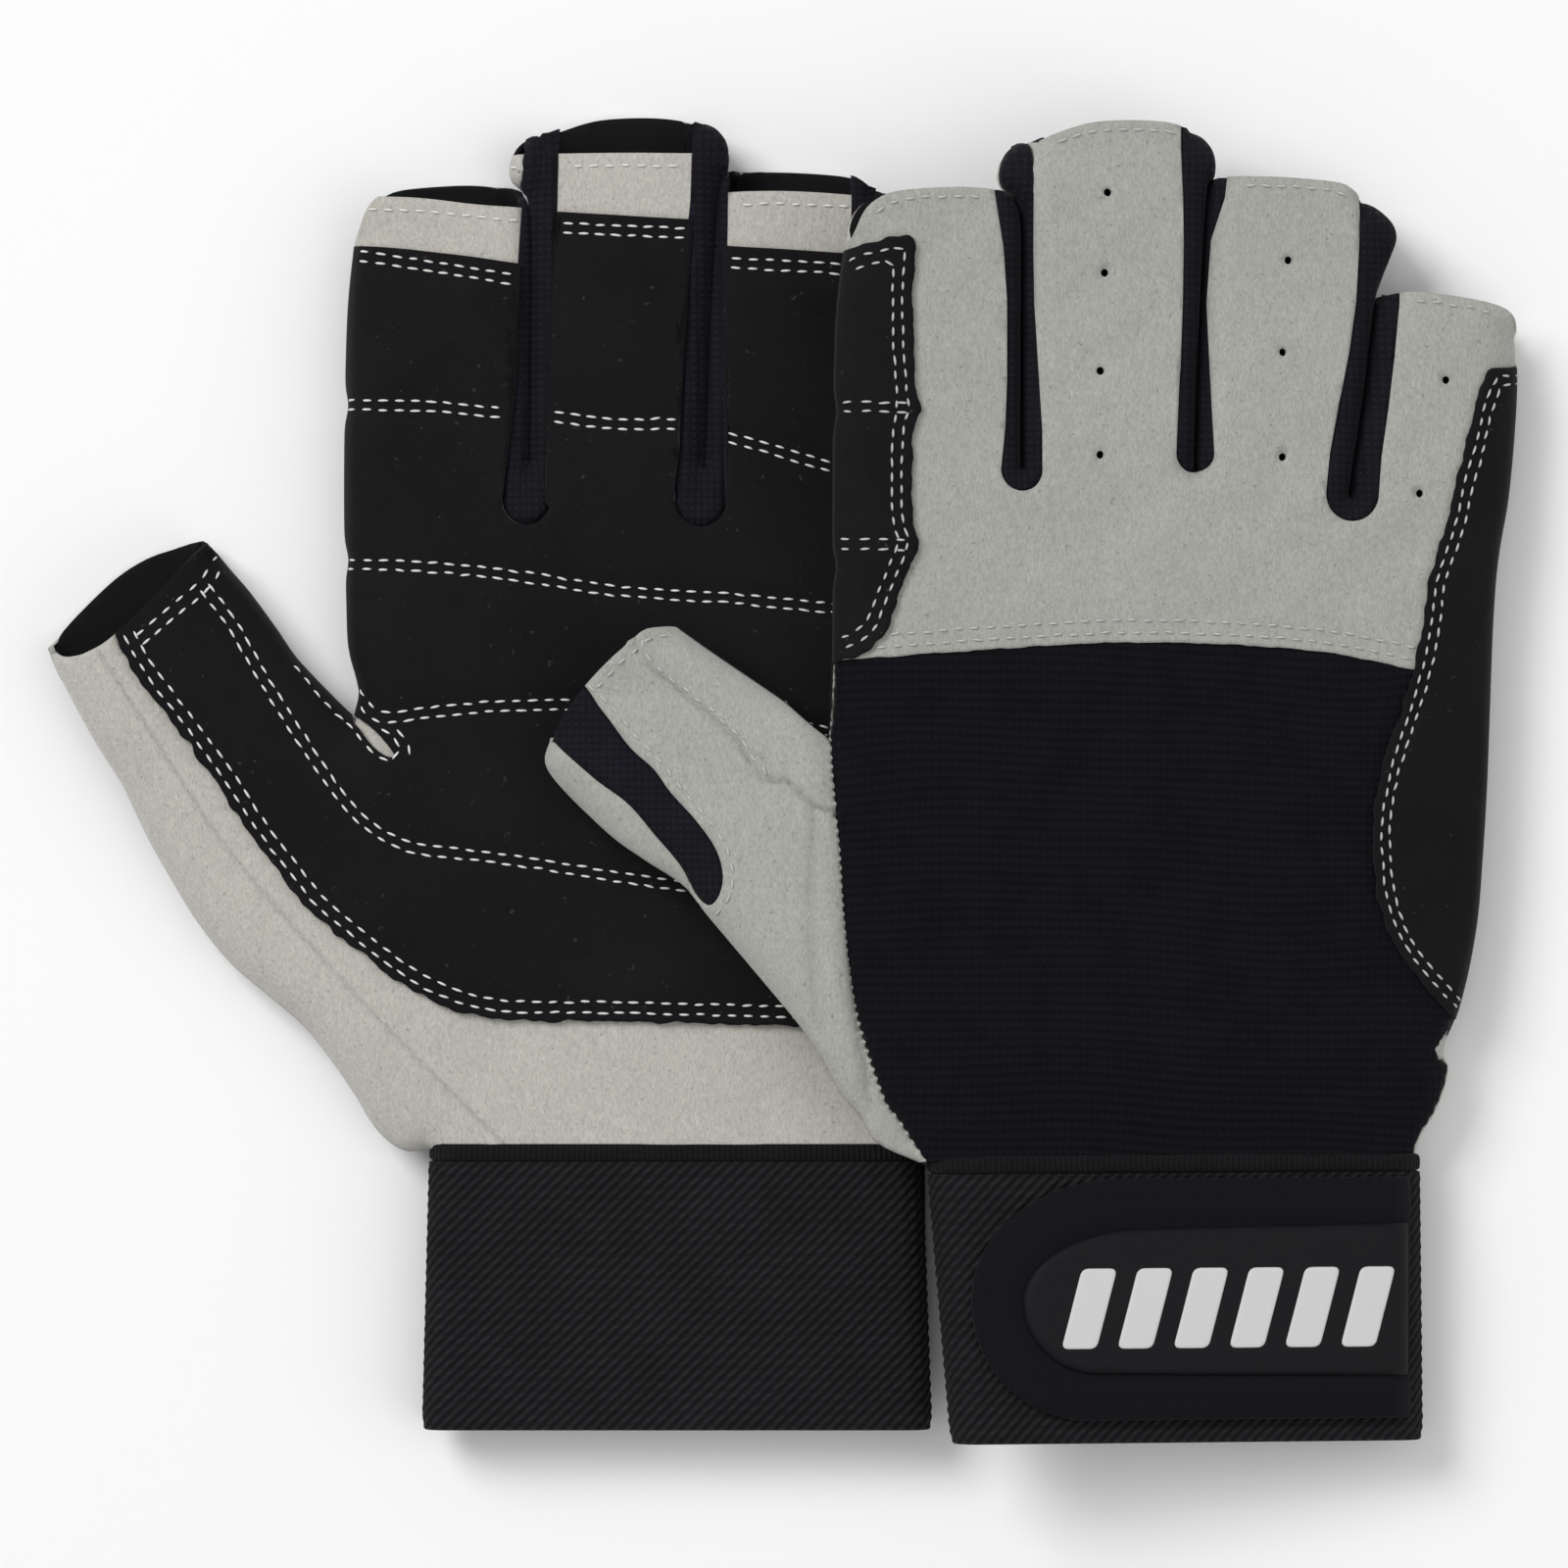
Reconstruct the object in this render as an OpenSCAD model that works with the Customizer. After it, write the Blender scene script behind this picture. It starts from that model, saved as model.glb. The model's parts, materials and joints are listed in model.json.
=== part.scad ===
// A pair of short-finger sailing gloves, laid down as a pair.
// The left glove lies flat with its palm up. The right glove lies back up,
// with its thumb side raised where it rests over the left glove's palm.
// Glove frame: u across the hand (thumb at -u), v towards the fingertips,
// n from the palm's outer face (0) to the back's outer face.

/* [Pair] */
// Distance between the two gloves' middle fingers
pair_shift = 69.6; // [69:0.1:90]
// Step of the right glove towards the wrist
pair_step = 1.4; // [0:0.1:5]
// Slope of the right glove across the left one, in degrees
tilt = 10; // [10:0.5:14]
// Droop of the right thumb below its own hand, in degrees
thumb_droop = 17; // [10:0.5:17]

/* [Hand] */
// Line where the finger stalls bend
finger_hinge_v = 144; // [143:0.5:146]
// Line where the thumb bends
thumb_hinge_u = -50; // [-50:0.1:-49.8]
// Radius of the seam between the suede back and the knit back
back_seam_r = 295; // [250:1:400]
// Middle height of that seam
back_seam_v = 113.8; // [110:0.1:118]
// Width of the stretch knit side of a finger
fourchette_w = 2.6; // [2:0.1:3]

/* [Cuff] */
// Length of the elastic wrist cuff
cuff_len = 38.4; // [36:0.1:38.4]
// Width of the cuff, laid flat
cuff_w = 70.5; // [66:0.1:72]
// Thickness of the elastic
cuff_wall = 0.9; // [0.7:0.1:1.1]

/* [Strap] */
// Width of the wrist strap
strap_w = 35; // [32:0.5:35]
// Reach of the strap from its sewn end to its rounded end
strap_len = 62.5; // [58:0.5:63]
// Width of the rubber patch
patch_w = 21.4; // [18:0.2:24]
// Number of raised slanted bars on the patch
bar_count = 6; // [4:1:7]

/* [Materials] */
// Thickness of the black grip overlay
grip_t = 0.9; // [0.8:0.1:1]
// Thickness of the hidden palm padding
foam_t = 0.75; // [0.5:0.05:0.8]
// Thickness of the suede palm
palm_t = 1.0; // [0.8:0.1:1]
// Thickness of the back, suede or knit
back_t = 1.1; // [0.9:0.1:1.2]

/* [Hidden] */
PIECES = [
  "back_suede", "back_knit", "palm_suede", "palm_foam", "palm_grip", "index_side", "ulnar_side",
  "fork_webs", "wrist_seam", "cuff", "loop_pad", "strap", "hook_pad", "strap_patch", "strap_emblem",
  "index_stall", "index_fourchette", "index_grip", "middle_stall", "middle_fourchette", "middle_grip",
  "ring_stall", "ring_fourchette", "ring_grip", "little_stall", "little_fourchette", "little_grip",
  "thumb_stall", "thumb_knit", "thumb_grip"
];
SIDES = ["left", "right"];
NODES = [for (side = SIDES) for (piece = PIECES) str(side, "_", piece)];
node = "all";

// Levels through the glove, palm face to back face
wrap_t = 0.8;
stack_t = 11.3;
back_n = stack_t - wrap_t - back_t;
palm_n = 1.7;
stall_palm_n = grip_t;
wall_n = palm_n + palm_t;
gap = 0.3;

// Colours
BACK_GREY = [0.64, 0.63, 0.61];
PALM_GREY = [0.71, 0.70, 0.67];
GRIP_BLACK = [0.11, 0.11, 0.12];
KNIT_BLACK = [0.09, 0.09, 0.11];
CUFF_BLACK = [0.12, 0.12, 0.13];
PATCH_BLACK = [0.14, 0.14, 0.16];
OFF_WHITE = [0.92, 0.92, 0.90];
FOAM_GREY = [0.45, 0.46, 0.48];

// Hand outline
wrist_v = 40.3;
side_w = 2.6;
edge_u = 49;
ulnar_edge = [[35, wrist_v], [38.2, 53.2], [43.4, 79.8], [45.9, 121.8], [edge_u, finger_hinge_v - gap]];
crotch = [-44.5, 97.5];
index_edge = [crotch, [-48.3, 104], [-49.3, 120], [-49.2, finger_hinge_v - gap]];
heel_edge = [[thumb_hinge_u + gap, 50.5], [-47.6, 47.6], [-42.7, 43.1], [-36, wrist_v]];
grip_edge = [[45, 57.5], [0, 58.3], [-24.5, 58.5], [-37.1, 61.6], [thumb_hinge_u + gap, 68.6]];

// Fingers: name, left and right edge at the bend, left and right edge at the tip, tip
FINGERS = [
  ["index", [-49.2, -23.3], [-45.5, -25.3], 177],
  ["middle", [-22.7, 1.7], [-24.6, 3.8], 186],
  ["ring", [2.3, 25.2], [4.4, 27.6], 177.5],
  ["little", [25.9, 49], [28.8, 49.1], 162]
];
// Knit webs at the finger forks: middle and lowest point
WEBS = [[-23, 133.5], [2, 134], [25.6, 131]];
web_w = 5.6;
// Vent holes in the back, along the middle, ring and little fingers
HAND_VENTS = [[-11.1, 141], [14.8, 140.6], [34.3, 135.5]];
FINGER_VENTS = [[], [[-10.1, 178.2], [-10.5, 166.9], [-11.1, 152.9]],
                [[15.5, 168.7], [14.8, 155.7]], [[38.1, 151.8]]];
vent_r = 0.55;

// Thumb: outer edge from the wrist to the opening, then inner edge back to the hand
THUMB_OUTER = [[[-50.9, 52], [-55.3, 58.1], [-70.7, 72.8], [-77.7, 84], [-85.4, 98.7], [-91, 110]],
               [[-50.9, 58.2], [-56.3, 63], [-67.5, 76.3], [-78.7, 86.8], [-85.5, 93], [-90, 98.5]]];
THUMB_INNER = [[[-69.5, 125.5], [-59.5, 112.7], [-50.9, 104.2]],
               [[-74.2, 116], [-61.9, 109.2], [-50.9, 100.8]]];
thumb_clear_u = 53.6;
gusset_w = 5.8;

// Cuff levels
cuff_u = -0.75;
cuff_n = 4.4;
cuff_h = 7.6;
pad_v = 5;
pad_w = 30;
loop_n = 8.2;
hook_n = 8.9;
strap_n = 9.4;
strap_t = 1.2;
strap_hinge_u = 33;
strap_v = 20.5;
patch_t = 0.5;
bar_t = stack_t - strap_n - strap_t - patch_t;

// The pair's place, with the origin under the middle of its box
pivot_x = pair_shift + edge_u - stack_t * sin(tilt);
mid_x = (THUMB_OUTER[0][5][0] + pair_shift + edge_u + 0.1) / 2;
mid_y = (FINGERS[1][3] - pair_step) / 2;

function unit(a) = a / norm(a);
function along(path, i) = unit(path[min(i + 1, len(path) - 1)] - path[max(i - 1, 0)]);
function shifted(path, d) = [for (i = [0:len(path) - 1])
  path[i] + d * [-along(path, i)[1], along(path, i)[0]]];
function reversed(path) = [for (i = [len(path) - 1:-1:0]) path[i]];
function side_index(side) = side == "left" ? 0 : 1;

// A flat sheet of the drawn outline
module sheet(n, t) translate([0, 0, n]) linear_extrude(t) children();

// A strip of width w beside a path, to its left when w is positive
module band(path, w) polygon(concat(path, reversed(shifted(path, w))));

module hand_outline() polygon(concat(ulnar_edge, reversed(index_edge),
  [[thumb_hinge_u + gap, crotch[1]]], heel_edge));

// A slot with a round lower end, open towards the fingertips
module web_outline(web, grow) {
  r = web_w / 2 + grow;
  translate(web + [0, web_w / 2]) circle(r, $fn = 48);
  translate([web[0] - r, web[1] + web_w / 2]) square([2 * r, finger_hinge_v - gap + grow - web[1] - web_w / 2]);
}

module forked() difference() {
  children();
  for (web = WEBS) web_outline(web, 0.05);
}

module vents(list) for (p = list) translate(p) circle(vent_r, $fn = 24);

module back_seam(r) translate([-5, back_seam_v - back_seam_r]) circle(r, $fn = 360);

module back_suede() color(BACK_GREY) sheet(back_n, back_t) difference() {
  forked() hand_outline();
  back_seam(back_seam_r + 0.05);
  vents(HAND_VENTS);
}

module back_knit() color(KNIT_BLACK) sheet(back_n, back_t) intersection() {
  hand_outline();
  back_seam(back_seam_r);
}

module palm_suede() color(PALM_GREY) sheet(palm_n, palm_t) forked() hand_outline();

module palm_foam() color(FOAM_GREY) sheet(grip_t, foam_t)
  polygon([[-44, 72], [-30, 64], [32, 63], [39, 78], [42, 128], [-44, 128], [-40, 98]]);

module palm_grip() color(GRIP_BLACK) sheet(0, grip_t) forked() difference() {
  hand_outline();
  polygon(concat(grip_edge, [[-60, 60], [-60, 30], [60, 30], [60, 57.5]]));
}

// Edge of the index side: the wall between the sheets and the wrap on the back
module index_side() color(GRIP_BLACK) {
  sheet(wall_n, back_n - wall_n) band([for (i = [1:3]) index_edge[i]], -side_w);
  sheet(back_n + back_t, wrap_t) polygon([[-49.3, 120], [-49.2, finger_hinge_v - gap],
    [-38.4, finger_hinge_v - gap], [-38.2, 130], [-40.5, 119], [-43.5, 113], [-47.5, 110.9], [-48.6, 112]]);
}

// Edge of the little finger side, with its crescent on the back
module ulnar_side() color(GRIP_BLACK) {
  sheet(wall_n, back_n - wall_n) band(ulnar_edge, side_w);
  sheet(back_n + back_t, wrap_t) polygon([[40, 61], [43.4, 79.8], [45.9, 121.8],
    [edge_u, finger_hinge_v - gap], [42, finger_hinge_v - gap], [38.9, 131.6], [36.1, 124],
    [34.2, 111], [29.6, 92], [29.2, 82], [31.5, 73], [36, 66]]);
}

module fork_webs() color(KNIT_BLACK)
  for (web = WEBS) sheet(0, back_n + back_t) web_outline(web, 0);

// Flat oval across the cuff, w wide and h high
module oval(w, h) {
  square([w - h, h], center = true);
  for (s = [-1, 1]) translate([s * (w - h) / 2, 0]) circle(h / 2, $fn = 48);
}

// A tube along the wrist that ends at v
module wrist_tube(v, length) translate([cuff_u, v, cuff_n]) rotate([90, 0, 0])
  linear_extrude(length) difference() {
    children();
    oval(cuff_w - 2 * cuff_wall, cuff_h - 2 * cuff_wall);
  }

module cuff() color(CUFF_BLACK) wrist_tube(cuff_len, cuff_len) oval(cuff_w, cuff_h);

// The overlocked seam that joins the cuff to the hand
module wrist_seam() color(KNIT_BLACK) wrist_tube(wrist_v, wrist_v - cuff_len)
  translate([-cuff_w / 2, -cuff_h / 2]) square([cuff_w, back_n + back_t - cuff_n + cuff_h / 2]);

module pad(n, t, from_u, to_u) sheet(n, t) translate([from_u, pad_v]) square([to_u - from_u, pad_w]);

module loop_pad() color(KNIT_BLACK) pad(loop_n, 0.6, -15, 14);

module hook_pad() color(PATCH_BLACK) pad(hook_n, strap_n - hook_n, -13, 6);

// Straight from the strap's sewn end to a round end
module tongue(v, w, reach) {
  translate([strap_hinge_u - reach + w / 2, v]) circle(w / 2, $fn = 96);
  translate([strap_hinge_u - reach + w / 2, v - w / 2]) square([reach - w / 2, w]);
}

module strap() color(KNIT_BLACK) sheet(strap_n, strap_t) tongue(strap_v, strap_w, strap_len);

module strap_patch() color(PATCH_BLACK)
  sheet(strap_n + strap_t, patch_t) tongue(strap_v + 0.6, patch_w, strap_len - 6);

// Slanted bars in place of a mark
module strap_emblem() color(OFF_WHITE) {
  bar_w = 4.4;
  pitch = 7.6;
  for (i = [0:bar_count - 1])
    translate([strap_hinge_u - 9 - i * pitch, strap_v - 4.4])
      sheet(strap_n + strap_t + patch_t, bar_t) polygon([[0, 0], [bar_w, 0], [bar_w + 3, 9.6], [3, 9.6]]);
}

// Finger outline between two insets, from its bend to its tip
module finger_outline(f, inset_l, inset_r) {
  v0 = finger_hinge_v + gap;
  polygon([[f[1][0] + inset_l, v0], [f[1][1] - inset_r, v0], [f[2][1] - inset_r, f[3]], [f[2][0] + inset_l, f[3]]]);
}

// The sides of the index and little finger that are open to the hand's edge carry the black grip
function inset_l(k) = k == 0 ? 0 : fourchette_w + 0.05;
function inset_r(k) = k == 3 ? 0 : fourchette_w + 0.05;

module finger_edge(f, left, w) {
  v0 = finger_hinge_v + gap;
  s = left ? 0 : 1;
  d = left ? w : -w;
  polygon([[f[1][s], v0], [f[2][s], f[3]], [f[2][s] + d, f[3]], [f[1][s] + d, v0]]);
}

module finger_stall(k) color(BACK_GREY) {
  sheet(back_n, back_t) difference() {
    finger_outline(FINGERS[k], inset_l(k), inset_r(k));
    vents(FINGER_VENTS[k]);
  }
  color(PALM_GREY) sheet(stall_palm_n, palm_t) finger_outline(FINGERS[k], inset_l(k), inset_r(k));
}

module fourchette(k) color(KNIT_BLACK) sheet(0, back_n + back_t) {
  if (k > 0) finger_edge(FINGERS[k], true, fourchette_w);
  if (k < 3) finger_edge(FINGERS[k], false, fourchette_w);
}

module finger_grip(k) color(GRIP_BLACK) {
  sheet(0, grip_t) intersection() {
    finger_outline(FINGERS[k], inset_l(k), inset_r(k));
    translate([-60, 0]) square([120, FINGERS[k][3] - 9]);
  }
  wall = [stall_palm_n + palm_t, back_n - stall_palm_n - palm_t];
  v0 = finger_hinge_v + gap;
  if (k == 0) {
    sheet(wall[0], wall[1]) finger_edge(FINGERS[k], true, side_w);
    sheet(back_n + back_t, wrap_t) polygon([[-49.2, v0], [-46.3, 170], [-40, 170.5], [-38.4, 168], [-38.3, v0]]);
  }
  if (k == 3) {
    sheet(wall[0], wall[1]) finger_edge(FINGERS[k], false, side_w);
    sheet(back_n + back_t, wrap_t) polygon([[42.2, v0], [43, 150], [44.5, 152.6], [edge_u, 152.6], [edge_u, v0]]);
  }
}

module thumb_outline(s) polygon(concat(THUMB_OUTER[s], THUMB_INNER[s]));

// What lies beyond a line across the thumb, so that a drooped thumb clears the hand
module beyond(u) intersection() {
  children();
  translate([-u - 60, 30]) square([60, 110]);
}

function knit_path(s) = [for (i = [2:5]) THUMB_OUTER[s][i]];

module thumb_stall(s) color(BACK_GREY) {
  sheet(back_n, back_t) difference() {
    thumb_outline(s);
    band(knit_path(s), -gusset_w - 0.05);
  }
  sheet(palm_n, palm_t) beyond(thumb_clear_u) thumb_outline(s);
  sheet(wall_n, back_n - wall_n) beyond(thumb_clear_u) {
    difference() {
      band([for (i = [0:2]) THUMB_OUTER[s][i]], -side_w);
      band(knit_path(s), -side_w - 0.05);
    }
    band(THUMB_INNER[s], -side_w);
  }
}

module thumb_knit(s) color(KNIT_BLACK) {
  sheet(back_n, back_t) band(knit_path(s), -gusset_w);
  sheet(wall_n, back_n - wall_n - 0.05) band(knit_path(s), -side_w);
}

module thumb_grip(s) color(GRIP_BLACK) sheet(0, grip_t) beyond(thumb_clear_u) difference() {
  thumb_outline(s);
  band(THUMB_OUTER[s], -11);
}

// A part of the hand that droops with the right thumb, about the thumb's bend on the back face
module drooped(side) {
  droop = side == "right" ? -thumb_droop : 0;
  translate([thumb_hinge_u, 0, stack_t]) rotate([0, droop, 0]) translate([-thumb_hinge_u, 0, -stack_t]) children();
}

// From a glove's own frame to the pair's frame
module place(side) {
  if (side == "left")
    translate([-mid_x, -mid_y, stack_t]) mirror([0, 0, 1]) children();
  if (side == "right")
    translate([pivot_x - mid_x, -pair_step - mid_y, 0]) rotate([0, tilt, 0]) translate([-edge_u, 0, 0]) children();
}

function wanted(side, piece) = node == "all" || node == str(side, "_", piece);

for (side = SIDES) {
  if (wanted(side, "back_suede")) place(side) back_suede();
  if (wanted(side, "back_knit")) place(side) back_knit();
  if (wanted(side, "palm_suede")) place(side) palm_suede();
  if (wanted(side, "palm_foam")) place(side) palm_foam();
  if (wanted(side, "palm_grip")) place(side) palm_grip();
  if (wanted(side, "index_side")) place(side) index_side();
  if (wanted(side, "ulnar_side")) place(side) ulnar_side();
  if (wanted(side, "fork_webs")) place(side) fork_webs();
  if (wanted(side, "wrist_seam")) place(side) wrist_seam();
  if (wanted(side, "cuff")) place(side) cuff();
  if (wanted(side, "loop_pad")) place(side) loop_pad();
  if (wanted(side, "strap")) place(side) strap();
  if (wanted(side, "hook_pad")) place(side) hook_pad();
  if (wanted(side, "strap_patch")) place(side) strap_patch();
  if (wanted(side, "strap_emblem")) place(side) strap_emblem();
  for (k = [0:3]) {
    if (wanted(side, str(FINGERS[k][0], "_stall"))) place(side) finger_stall(k);
    if (wanted(side, str(FINGERS[k][0], "_fourchette"))) place(side) fourchette(k);
    if (wanted(side, str(FINGERS[k][0], "_grip"))) place(side) finger_grip(k);
  }
  s = side_index(side);
  if (wanted(side, "thumb_stall")) place(side) drooped(side) thumb_stall(s);
  if (wanted(side, "thumb_knit")) place(side) drooped(side) thumb_knit(s);
  if (wanted(side, "thumb_grip")) place(side) drooped(side) thumb_grip(s);
}
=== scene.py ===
"""The look of a pair of short-finger sailing gloves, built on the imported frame.

Shapes are worked out in a glove's own frame, in millimetres: u across the hand with the thumb at -u,
v towards the fingertips, n from the palm's face to the back's face. Glove.world() turns them into metres
in the row frame. Each face of a glove is one plane mesh that is lifted to a rounded surface, and each
panel of cloth or suede is a slab cut from it.
"""
import json
import math

import bpy
import numpy as np
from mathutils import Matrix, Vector, geometry
from mathutils.bvhtree import BVHTree

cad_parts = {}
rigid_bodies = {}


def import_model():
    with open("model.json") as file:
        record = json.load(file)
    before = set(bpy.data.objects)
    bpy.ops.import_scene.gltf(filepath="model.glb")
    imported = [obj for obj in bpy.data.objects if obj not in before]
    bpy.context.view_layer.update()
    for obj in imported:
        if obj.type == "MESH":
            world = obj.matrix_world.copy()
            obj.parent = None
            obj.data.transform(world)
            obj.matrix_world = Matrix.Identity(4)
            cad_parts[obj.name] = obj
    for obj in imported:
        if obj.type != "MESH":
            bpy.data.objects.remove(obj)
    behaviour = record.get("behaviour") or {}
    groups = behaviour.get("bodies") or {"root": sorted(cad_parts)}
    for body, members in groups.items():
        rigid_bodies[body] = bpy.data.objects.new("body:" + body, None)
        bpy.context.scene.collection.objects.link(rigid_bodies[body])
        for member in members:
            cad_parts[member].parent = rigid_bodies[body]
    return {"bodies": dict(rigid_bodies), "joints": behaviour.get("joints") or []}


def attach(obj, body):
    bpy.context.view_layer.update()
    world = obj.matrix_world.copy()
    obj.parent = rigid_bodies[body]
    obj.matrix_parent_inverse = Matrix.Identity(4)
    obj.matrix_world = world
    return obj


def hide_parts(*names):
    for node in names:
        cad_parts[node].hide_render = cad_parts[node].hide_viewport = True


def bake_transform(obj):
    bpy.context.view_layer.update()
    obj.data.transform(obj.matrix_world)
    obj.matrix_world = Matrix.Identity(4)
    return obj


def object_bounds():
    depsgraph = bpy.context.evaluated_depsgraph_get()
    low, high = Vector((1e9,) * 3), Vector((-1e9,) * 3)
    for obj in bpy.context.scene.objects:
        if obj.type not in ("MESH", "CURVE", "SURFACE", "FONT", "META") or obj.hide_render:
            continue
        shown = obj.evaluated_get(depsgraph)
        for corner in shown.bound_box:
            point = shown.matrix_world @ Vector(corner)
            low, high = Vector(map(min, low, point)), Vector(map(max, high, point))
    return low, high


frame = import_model()
BOUNDS_AT_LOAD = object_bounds()
JOINTS = {joint["name"]: joint for joint in frame["joints"]}

MM = 0.001
UV_SCALE = 0.01
COARSE = 1.0
FACE_STEP = 1.35 * COARSE
# Rows of mesh points along a sewn edge of the glove, and along the edge of a tab
EDGE_ROWS = (0.12, 0.45, 1.0, 1.8, 2.8, 4.0)
TAB_ROWS = (0.12, 0.35, 0.7, 1.2, 2.0, 3.0)

# Levels and roundness of a glove's section, as the CAD solids have them
STACK = 11.3
MID = 5.4
BACK_RISE = 5.0
PALM_RISE = 4.5
ROUND = 7.5
WRIST_V = 40.2
BACK, PALM = 1, -1
PARTS = ("hand", "index", "middle", "ring", "little", "thumb")
FINGERS = PARTS[1:5]

# Where the fingers and the thumb bend
FINGER_BEND = (139.0, 150.0)
THUMB_BEND = (-45.5, -54.5)
THUMB_PIVOT = (-50.0, STACK)
PIVOT_V = 77
THUMB_DROOP = {"left": 0.0, "right": math.radians(-17)}

# Thickness of each cloth, and how far the panels' faces stand over the rounded surface
SUEDE_THICK, KNIT_THICK, WEB_THICK, WRAP_THICK = 0.9, 0.8, 0.7, 0.75
BACK_OUT, PALM_OUT, GUSSET_OUT, WRAP_OUT, GRIP_OUT = 0.25, 0.20, -0.2, 1.0, 1.25

# Stitching
STITCH_LENGTH, STITCH_PITCH, STITCH_WIDTH = 1.5, 2.3, 0.36
QUILT_GAP, HEM_GAP = 1.35, 1.55
QUILT_ROWS = (-QUILT_GAP / 2, QUILT_GAP / 2)
WRAP_PITCH, CRESCENT_PITCH = 2.05, 2.1

# ---------------------------------------------------------------- outlines of the glove, counterclockwise
ULNAR = [(34.2, 40.2), (35.2, 43.4), (37.2, 46.5), (38.8, 50.4), (39.3, 53.4), (38.4, 54.9), (38.9, 57.4),
         (40.1, 60.2), (41.1, 63.4), (42.3, 68.4), (43.4, 75.0), (44.0, 82.6), (44.7, 93.8), (45.9, 121.8),
         (48.0, 135.8), (49.1, 149.8), (48.8, 157.6)]
LITTLE_TIP = [(48.8, 157.6), (48.3, 160.2), (46.0, 161.9), (40.0, 163.2), (33.3, 163.9), (30.4, 163.4)]
SLIT_RING = [(30.4, 163.4), (29.2, 162.6), (28.5, 161.0), (26.8, 148.0), (24.95, 136.0), (24.8, 135.0),
             (24.65, 136.0), (26.5, 148.0), (28.2, 161.4), (29.2, 165.2), (30.6, 168.8), (31.5, 171.4),
             (31.1, 173.4), (29.7, 175.1), (28.0, 176.2), (26.2, 176.7)]
RING_TIP = [(26.2, 176.7), (24.4, 178.4), (22.0, 179.4), (15.0, 180.0), (8.4, 180.1), (6.0, 180.0)]
SLIT_MIDDLE = [(6.0, 180.0), (4.1, 177.6), (2.9, 158.0), (2.25, 140.0), (2.1, 139.0), (1.95, 140.0),
               (2.6, 158.0), (3.8, 177.6), (4.8, 179.6), (5.1, 181.8), (4.6, 184.0), (3.2, 185.7),
               (1.2, 186.5)]
MIDDLE_TIP = [(1.2, 186.5), (-2.3, 187.6), (-7.8, 187.9), (-13.6, 187.5), (-18.5, 186.0), (-21.4, 184.6)]
SLIT_INDEX = [(-21.4, 184.6), (-23.4, 184.4), (-25.1, 183.0), (-25.9, 180.6), (-25.6, 178.6), (-24.2, 177.2),
              (-22.85, 174.0), (-22.85, 158.0), (-22.85, 140.0), (-23.0, 139.0), (-23.15, 140.0),
              (-23.15, 158.0), (-23.2, 173.0), (-24.4, 177.0)]
INDEX_TIP = [(-24.4, 177.0), (-27.0, 177.8), (-33.0, 178.2), (-41.3, 177.6), (-44.6, 176.3), (-46.5, 174.2),
             (-47.9, 170.2)]
INDEX_EDGE = {
    "left": [(-47.9, 170.2), (-48.9, 160.0), (-49.3, 146.0), (-49.4, 131.0), (-49.1, 119.0), (-48.8, 112.0),
             (-47.6, 107.2), (-47.3, 105.0), (-47.9, 102.4), (-48.1, 101.4)],
    "right": [(-47.9, 170.2), (-49.1, 160.0), (-49.5, 146.0), (-49.6, 131.0), (-49.6, 115.0), (-49.9, 105.0),
              (-50.4, 99.8)],
}
THUMB_INNER = {
    "left": [(-48.1, 101.4), (-49.6, 102.6), (-53.2, 106.2), (-57.0, 110.3), (-59.6, 114.1), (-63.4, 119.3),
             (-66.4, 122.8), (-68.2, 125.0)],
    "right": [(-50.4, 99.8), (-56.8, 103.9), (-63.5, 108.4), (-69.4, 112.4), (-74.2, 115.8)],
}
THUMB_MOUTH = {
    "left": [(-68.2, 125.0), (-69.9, 126.9), (-74.6, 125.9), (-78.7, 124.4), (-83.2, 121.4), (-88.9, 115.8),
             (-92.0, 111.8)],
    "right": [(-74.2, 115.8), (-76.4, 115.9), (-79.0, 114.8), (-87.1, 107.1), (-91.9, 100.2)],
}
THUMB_OUTER = {
    "left": [(-92.0, 111.8), (-90.3, 107.8), (-85.4, 98.7), (-81.2, 92.0), (-77.7, 84.8), (-74.9, 79.8),
             (-70.7, 72.9), (-65.8, 66.8), (-60.2, 62.0), (-55.3, 57.8), (-51.1, 52.5), (-47.9, 47.8),
             (-45.6, 43.9), (-43.2, 41.3), (-40.8, 40.0), (-38.0, 40.2)],
    "right": [(-91.9, 100.2), (-92.2, 95.6), (-84.1, 87.2), (-78.5, 83.1), (-73.0, 79.5), (-69.3, 75.0),
              (-61.8, 66.2), (-56.2, 59.5), (-52.5, 54.4), (-49.2, 49.8), (-46.0, 47.0), (-43.4, 43.0),
              (-37.4, 40.2)],
}
# The line between thumb and hand
THUMB_LINE = {
    "left": [(-45.5, 30), (-45.5, 96.0), (-48.1, 101.4), (-50.4, 106.0), (-60, 127), (-100, 135), (-100, 30)],
    "right": [(-45.5, 30), (-45.5, 90.0), (-50.4, 99.8), (-53, 104), (-62, 125), (-100, 135), (-100, 30)],
}

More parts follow.
